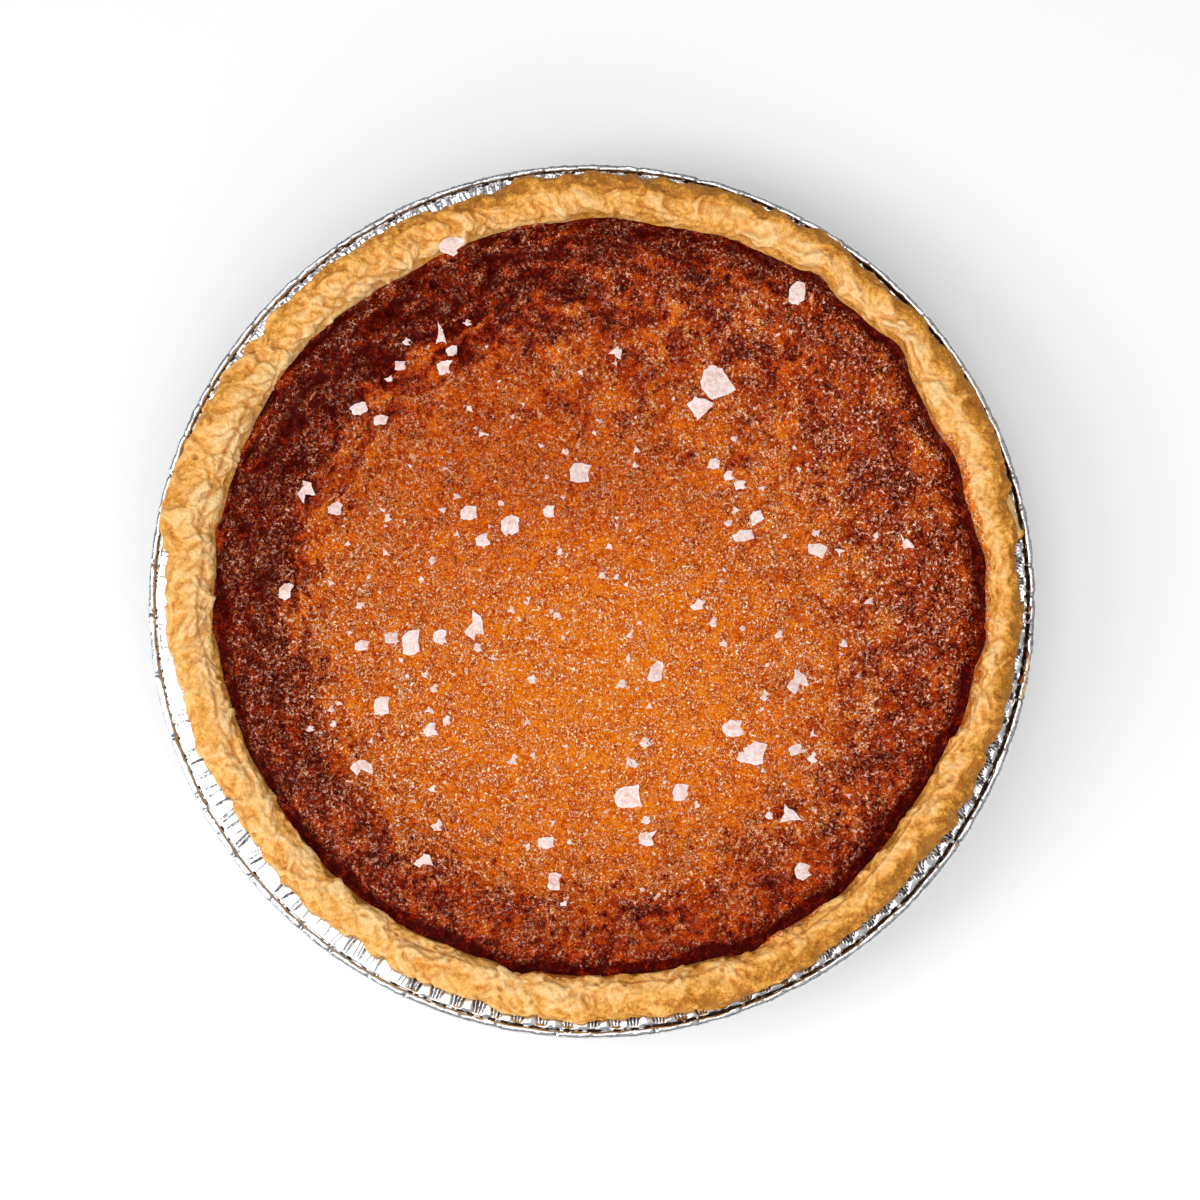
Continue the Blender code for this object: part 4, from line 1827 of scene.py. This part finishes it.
@dataclass
class SaltFlakes:
    """The salt: thin broken plates of many sizes, lying on the filling."""

    view: Viewpoint
    filling: HoneyFilling
    pastry: Surface
    pixels_per_mm: float = 3.62
    specks: int = 170
    speck_reach: float = 88.0
    speck_shift: float = 6.0
    speck_spin_deg: float = 90.0
    flake_spin_deg: float = 9.0
    terraces: tuple[tuple[float, float, float], ...] = (
        (1.0, 0.0, 1.0), (0.9, 0.08, 0.6), (0.72, 0.1, 0.0), (0.6, 0.17, 0.3), (0.3, 0.19, 0.0),
    )
    seed: int = 60
    finish: SaltFinish = SaltFinish()
    flakes: tuple[Flake, ...] = (
        Flake(797, 293, 18, 22), Flake(441, 334, 12, 24, FlakeForm.SHARD), Flake(452, 351, 12, 10),
        Flake(444, 367, 14, 14), Flake(400, 365, 12, 10), Flake(358, 409, 18, 13),
        Flake(381, 420, 14, 13), Flake(618, 351, 12, 16, FlakeForm.SHARD),
        Flake(716, 382, 34, 37, FlakeForm.SLAB), Flake(702, 408, 25, 24, FlakeForm.FIN),
        Flake(580, 473, 21, 22), Flake(714, 464, 11, 13), Flake(728, 476, 12, 9),
        Flake(740, 485, 13, 10), Flake(468, 513, 18, 14), Flake(511, 524, 18, 20),
        Flake(548, 512, 13, 12), Flake(482, 540, 14, 14), Flake(305, 492, 20, 22, FlakeForm.WING),
        Flake(335, 509, 15, 14), Flake(743, 536, 20, 12), Flake(756, 517, 14, 12),
        Flake(817, 550, 19, 15), Flake(906, 542, 12, 18, FlakeForm.SHARD), Flake(286, 591, 13, 17),
        Flake(411, 642, 18, 28), Flake(440, 638, 14, 14), Flake(474, 627, 20, 28, FlakeForm.WING),
        Flake(391, 638, 16, 12), Flake(362, 646, 14, 11), Flake(382, 706, 16, 20),
        Flake(431, 730, 13, 13), Flake(361, 768, 24, 16, FlakeForm.WING),
        Flake(422, 861, 20, 14, FlakeForm.WING), Flake(545, 843, 18, 12), Flake(554, 880, 14, 16),
        Flake(656, 672, 13, 22), Flake(627, 797, 27, 24), Flake(681, 792, 17, 16),
        Flake(646, 838, 16, 16), Flake(733, 728, 20, 18), Flake(754, 754, 20, 22),
        Flake(797, 682, 22, 26, FlakeForm.WING), Flake(796, 750, 16, 12),
        Flake(789, 813, 24, 20, FlakeForm.SHARD), Flake(802, 872, 18, 16),
        Flake(467, 323, 9, 8, FlakeForm.CHIP), Flake(406, 342, 8, 8, FlakeForm.CHIP),
        Flake(389, 379, 8, 7, FlakeForm.CHIP), Flake(636, 449, 8, 9, FlakeForm.SHARD),
        Flake(483, 434, 12, 6, FlakeForm.SHARD), Flake(457, 496, 11, 7, FlakeForm.SHARD),
        Flake(387, 518, 8, 9, FlakeForm.CHIP), Flake(385, 552, 7, 9, FlakeForm.SHARD),
        Flake(432, 560, 9, 9, FlakeForm.CHIP), Flake(728, 523, 10, 7, FlakeForm.CHIP),
        Flake(698, 604, 13, 12, FlakeForm.CHIP), Flake(602, 575, 9, 9, FlakeForm.CHIP),
        Flake(557, 615, 9, 8, FlakeForm.SHARD), Flake(713, 622, 9, 10, FlakeForm.CHIP),
        Flake(779, 634, 8, 8, FlakeForm.CHIP), Flake(843, 644, 9, 8, FlakeForm.CHIP),
        Flake(477, 647, 11, 10, FlakeForm.CHIP), Flake(512, 609, 8, 10, FlakeForm.SHARD),
        Flake(532, 679, 9, 9, FlakeForm.CHIP), Flake(622, 684, 11, 10, FlakeForm.CHIP),
        Flake(434, 688, 8, 9, FlakeForm.CHIP), Flake(430, 710, 11, 8, FlakeForm.SHARD),
        Flake(446, 720, 9, 11, FlakeForm.CHIP), Flake(331, 709, 9, 8, FlakeForm.CHIP),
        Flake(334, 724, 7, 8, FlakeForm.CHIP), Flake(528, 722, 8, 8, FlakeForm.SHARD),
        Flake(513, 760, 11, 13, FlakeForm.CHIP), Flake(432, 788, 9, 9, FlakeForm.CHIP),
        Flake(437, 825, 11, 12, FlakeForm.CHIP), Flake(644, 742, 10, 11, FlakeForm.CHIP),
        Flake(629, 760, 6, 15, FlakeForm.SHARD), Flake(646, 820, 11, 9, FlakeForm.CHIP),
        Flake(742, 757, 13, 13, FlakeForm.CHIP), Flake(812, 757, 10, 12, FlakeForm.CHIP),
        Flake(769, 815, 9, 9, FlakeForm.CHIP),
    )
    perched: Flake = Flake(450, 247, 26, 18, FlakeForm.BOWL)

    def lay(
        self,
        skin: Skin,
        place: Array,
        size: tuple[float, float],
        form: FlakeForm,
        spin_deg: float,
        ground: Ground,
        draw: np.random.Generator,
    ) -> None:
        """Lays one flake: a stepped plate with a broken outline.

        Args:
            skin: Gathers the flakes.
            place: Where its middle lies.
            size: Its width and length.
            form: Its shape.
            spin_deg: How far it is turned, as a spread about 0.
            ground: Level of what it lies on, at an x and a y.
            draw: Source of chance.
        """
        fine = min(1.0, 4.0 / max(size))
        corners = np.array(form.value) + fine * draw.normal(0.0, 0.14, (len(form.value), 2))
        outline = []
        for start, end in zip(corners, np.roll(corners, -1, axis=0)):
            for share in (0.0, 0.35, 0.7):
                outline.append(start + (end - start) * share + fine * draw.normal(0.0, 0.07, 2))
        shape = np.array(outline) * np.array(size) / 2
        turn = math.radians(draw.normal(0.0, spin_deg))
        shape = shape @ np.array([[math.cos(turn), math.sin(turn)], [-math.sin(turn), math.cos(turn)]])
        thick = draw.uniform(0.35, 0.7)
        tilt = draw.normal(0.0, 0.2, 2) * fine
        drift = draw.normal(0.0, 0.35, 2) * np.array(size) / 2
        rows = []
        foot = (0.94, -thick, 0.5)
        for scale, level, rim in (foot, *self.terraces):
            flat = shape * scale + drift * (1 - scale)
            rise = level + flat @ tilt + draw.normal(0.0, 0.03, len(flat)) + place[2] + 0.35
            if level >= 0.0:
                below = ground(flat[:, 0] + place[0], flat[:, 1] + place[1])
                rise = np.maximum(rise, below + 0.1 + level)
            rows.append(skin.add(np.column_stack([flat + place[:2], rise]), rim=rim))
        skin.bands(rows)
        skin.cap(rows[-1])
        skin.cap(rows[0])

    def drop(
        self,
        skin: Skin,
        flake: Flake,
        ground: Ground,
        draw: np.random.Generator,
    ) -> None:
        """Lays one of the large flakes where it shows.

        Args:
            skin: Gathers the flakes.
            flake: The flake.
            ground: Level of what it lies on, at an x and a y.
            draw: Source of chance.
        """
        place = self.view.land(flake.column, flake.row, ground)
        size = (flake.width / self.pixels_per_mm, flake.length / self.pixels_per_mm)
        self.lay(skin, place, size, flake.form, self.flake_spin_deg, ground, draw)

    def build(self) -> Object:
        """Makes all the salt as one mesh."""
        draw = np.random.default_rng(self.seed)
        skin = Skin()
        for flake in self.flakes:
            self.drop(skin, flake, self.filling.height, draw)
        self.drop(skin, self.perched, self.pastry.height, draw)
        for _ in range(self.specks):
            reach = self.speck_reach * math.sqrt(draw.random()) * (0.75 + 0.25 * draw.random())
            turn = draw.random() * FULL_TURN
            east = np.array([reach * math.cos(turn)])
            north = np.array([reach * math.sin(turn) - self.speck_shift])
            place = np.array([east[0], north[0], self.filling.height(east, north)[0]])
            side = 0.7 + 1.6 * draw.random() ** 2
            form = (FlakeForm.SHARD, FlakeForm.CHIP)[int(draw.random() < 0.6)]
            span = (side, side * draw.uniform(0.6, 1.3))
            self.lay(skin, place, span, form, self.speck_spin_deg, self.filling.height, draw)
        return skin.make("salt_flakes", self.finish.material(), crease_deg=20.0)


@dataclass
class DoughFlap:
    """A thin tongue of dough that hangs from the pastry's edge over the flange."""

    start_deg: float = 6.8
    end_deg: float = 14.6
    root_radius: float = 115.4
    tip_radius: float = 121.6
    thickness: float = 0.7
    root_level: float = 36.4
    tip_level: float = 32.4
    finish: PastryFinish = PastryFinish()

    def build(self) -> Object:
        """Makes the flap."""
        grain = Grain(75)
        along = np.linspace(0.0, 1.0, 41)[:, None]
        across = np.linspace(0.0, 1.0, 11)[None, :]
        ripple = grain.layers(along * 7, across * 2, 3)
        widest = 0.2 * np.exp(-(((along - 0.14) / 0.08) ** 2)) + 0.64
        widest = widest * ease(0.0, 0.06, along) * ease(1.0, 0.8, along)
        radius = self.root_radius + (self.tip_radius - self.root_radius) * across * widest
        radius = radius + 0.2 * ripple * across
        level = self.root_level + (self.tip_level - self.root_level) * across**1.5 + 0.25 * ripple
        turn = np.radians(self.start_deg + (self.end_deg - self.start_deg) * along) + 0.004 * ripple
        skin = Skin()
        over = round_pie(radius, turn, level)
        toast = 0.1 + 0.75 * ease(0.6, 1.0, across) * ease(0.35, 0.1, along) + 0.25 * ripple
        marks = {"toast": np.clip(toast, 0, 1), "stain": 0.0, "crack": 0.0}
        top = skin.add(over, **marks)
        under = skin.add(over - np.array([0.0, 0.0, self.thickness]), **marks)
        skin.sheet(top)
        skin.sheet(under)
        skin.band(outskirts(top), outskirts(under))
        return skin.make("dough_flap", self.finish.material(), crease_deg=60.0)


@dataclass(frozen=True)
class Blob:
    """A small lump on the tin, placed by the pixel that it shows at.

    Attributes:
        column: Pixels from the frame's left side.
        row: Pixels from its top.
        width: Its width, in millimetres.
        length: Its length, in millimetres.
        height: Its height, in millimetres.
    """

    column: float
    row: float
    width: float
    length: float
    height: float


@dataclass
class Leavings:
    """Small lumps of one kind on the tin: run honey or crumbs of pastry."""

    name: str
    view: Viewpoint
    ground: Surface
    blobs: tuple[Blob, ...]
    finish: DripFinish | PastryFinish
    roughness: float
    seed: int
    section: Section = (
        (0.7, -0.5), (0.98, -0.1), (1.0, 0.15), (0.85, 0.6), (0.55, 0.9), (0.2, 1.0),
    )

    def heap(self, skin: Skin, place: Array, blob: Blob, draw: np.random.Generator) -> None:
        """Makes one lump, turned to lie along the tin's edge.

        Args:
            skin: Gathers the lumps.
            place: Where its middle lies.
            blob: Its size.
            draw: Source of chance.
        """
        spin = bearings(16)
        grain = Grain(int(draw.integers(1, 9999)))
        wobble = 1.0 + self.roughness * grain.around(spin, 5, 2)
        lean = math.atan2(place[1], place[0]) + draw.normal(0.0, 0.1)
        rows = []
        for reach, rise in self.section:
            side = wobble * reach * blob.width / 2 * np.cos(spin)
            long = wobble * reach * blob.length / 2 * np.sin(spin)
            east = place[0] + side * math.cos(lean) - long * math.sin(lean)
            north = place[1] + side * math.sin(lean) + long * math.cos(lean)
            level = place[2] + blob.height * (rise + self.roughness * draw.normal(0.0, 0.15, len(spin)))
            lump = np.stack([east, north, level], axis=-1)
            rows.append(skin.add(lump, toast=0.7, stain=0.0, crack=0.0))
        skin.bands(rows)
        skin.cap(rows[0])
        skin.cap(rows[-1])

    def build(self) -> Object:
        """Makes all the lumps as one mesh."""
        draw = np.random.default_rng(self.seed)
        skin = Skin()
        for blob in self.blobs:
            self.heap(skin, self.view.land(blob.column, blob.row, self.ground.height), blob, draw)
        return skin.make(self.name, self.finish.material())


HONEY_DRIPS = (
    Blob(1030.0, 608.0, 1.1, 1.4, 0.45), Blob(1027.5, 654.0, 0.9, 1.5, 0.4),
    Blob(1024.5, 668.0, 1.0, 1.3, 0.4), Blob(1022.0, 680.0, 1.3, 2.4, 0.5),
)
HONEY_FILM = (
    Blob(1028.5, 660.0, 0.7, 5.0, 0.25), Blob(1026.0, 676.0, 0.6, 4.4, 0.25),
    Blob(1023.5, 691.0, 0.6, 4.6, 0.25), Blob(1016.0, 700.0, 0.6, 1.0, 0.25),
)
PASTRY_CRUMBS = (
    Blob(1021.5, 606.0, 1.6, 2.4, 0.9), Blob(1022.5, 612.0, 1.0, 1.3, 0.7),
    Blob(1020.5, 615.0, 0.8, 0.9, 0.6), Blob(956.0, 845.0, 0.7, 1.0, 0.5),
    Blob(842.0, 950.0, 0.8, 0.8, 0.5), Blob(205.0, 800.0, 0.6, 0.8, 0.4),
)


def read_outlines(node: Object, lines: int, floor: float) -> tuple[Outline, Outline, Outline]:
    """Reads the pastry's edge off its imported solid.

    Args:
        node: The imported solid.
        lines: How many bearings its points stand on.
        floor: Level above which its points belong to the edge.

    Returns:
        Its outer radius, inner radius and crest by bearing.
    """
    points = np.array([vertex.co for vertex in node.data.vertices]) / MM
    radius = np.hypot(points[:, 0], points[:, 1])
    line = np.round(np.arctan2(points[:, 1], points[:, 0]) / FULL_TURN * lines).astype(int) % lines
    found = []
    for index in range(lines):
        chosen = (line == index) & (points[:, 2] > floor)
        found.append((radius[chosen].max(), radius[chosen].min(), points[chosen, 2].max()))
    outer, inner, crest = np.array(found).T
    return Outline(outer), Outline(inner), Outline(crest)


def attach(piece: Object, node: str | None = None) -> None:
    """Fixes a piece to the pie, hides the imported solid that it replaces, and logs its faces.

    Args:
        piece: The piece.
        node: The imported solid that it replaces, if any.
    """
    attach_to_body(piece, "root")
    if node is not None:
        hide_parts(node)
    log.info("%s: %d faces", piece.name, len(piece.data.polygons))


def main() -> None:
    """Builds the pie around its frame, piece by piece, and the studio round it."""
    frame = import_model()
    view = Viewpoint()
    view.place()
    Studio().build()
    wall = CupLine()
    lines = 84
    outer, inner, crest = read_outlines(frame["nodes"]["pastry_case"], lines, floor=31.5)
    tin = FoilTin(wall, rim_radius=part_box("foil_tin")[1].x / MM)
    tin_piece = tin.build()
    attach(tin_piece, "foil_tin")
    pastry = PastryCase(wall, outer, inner, crest)
    pastry_piece = pastry.build()
    attach(pastry_piece, "pastry_case")
    attach(DoughFlap().build())
    filling = HoneyFilling(edge=Outline(pastry.edges(bearings(lines * 10))[0]))
    attach(filling.build(), "honey_filling")
    ledge = Surface([pastry_piece], fallback=35.0)
    attach(SaltFlakes(view, filling, ledge).build())
    edge = Surface([tin_piece, pastry_piece], fallback=31.0)
    drips = Leavings("honey_drips", view, edge, HONEY_DRIPS, DripFinish(), 0.25, seed=81)
    attach(drips.build())
    thin = DripFinish("thin_honey", amber=paint(240, 214, 140), dark=paint(206, 156, 70))
    attach(Leavings("honey_film", view, edge, HONEY_FILM, thin, 0.25, seed=82).build())
    crumbs = Leavings("pastry_crumbs", view, edge, PASTRY_CRUMBS, PastryFinish(), 0.6, seed=83)
    attach(crumbs.build())


if __name__ == "__main__":
    logging.basicConfig(level=logging.INFO, format="%(name)s: %(message)s")
    main()
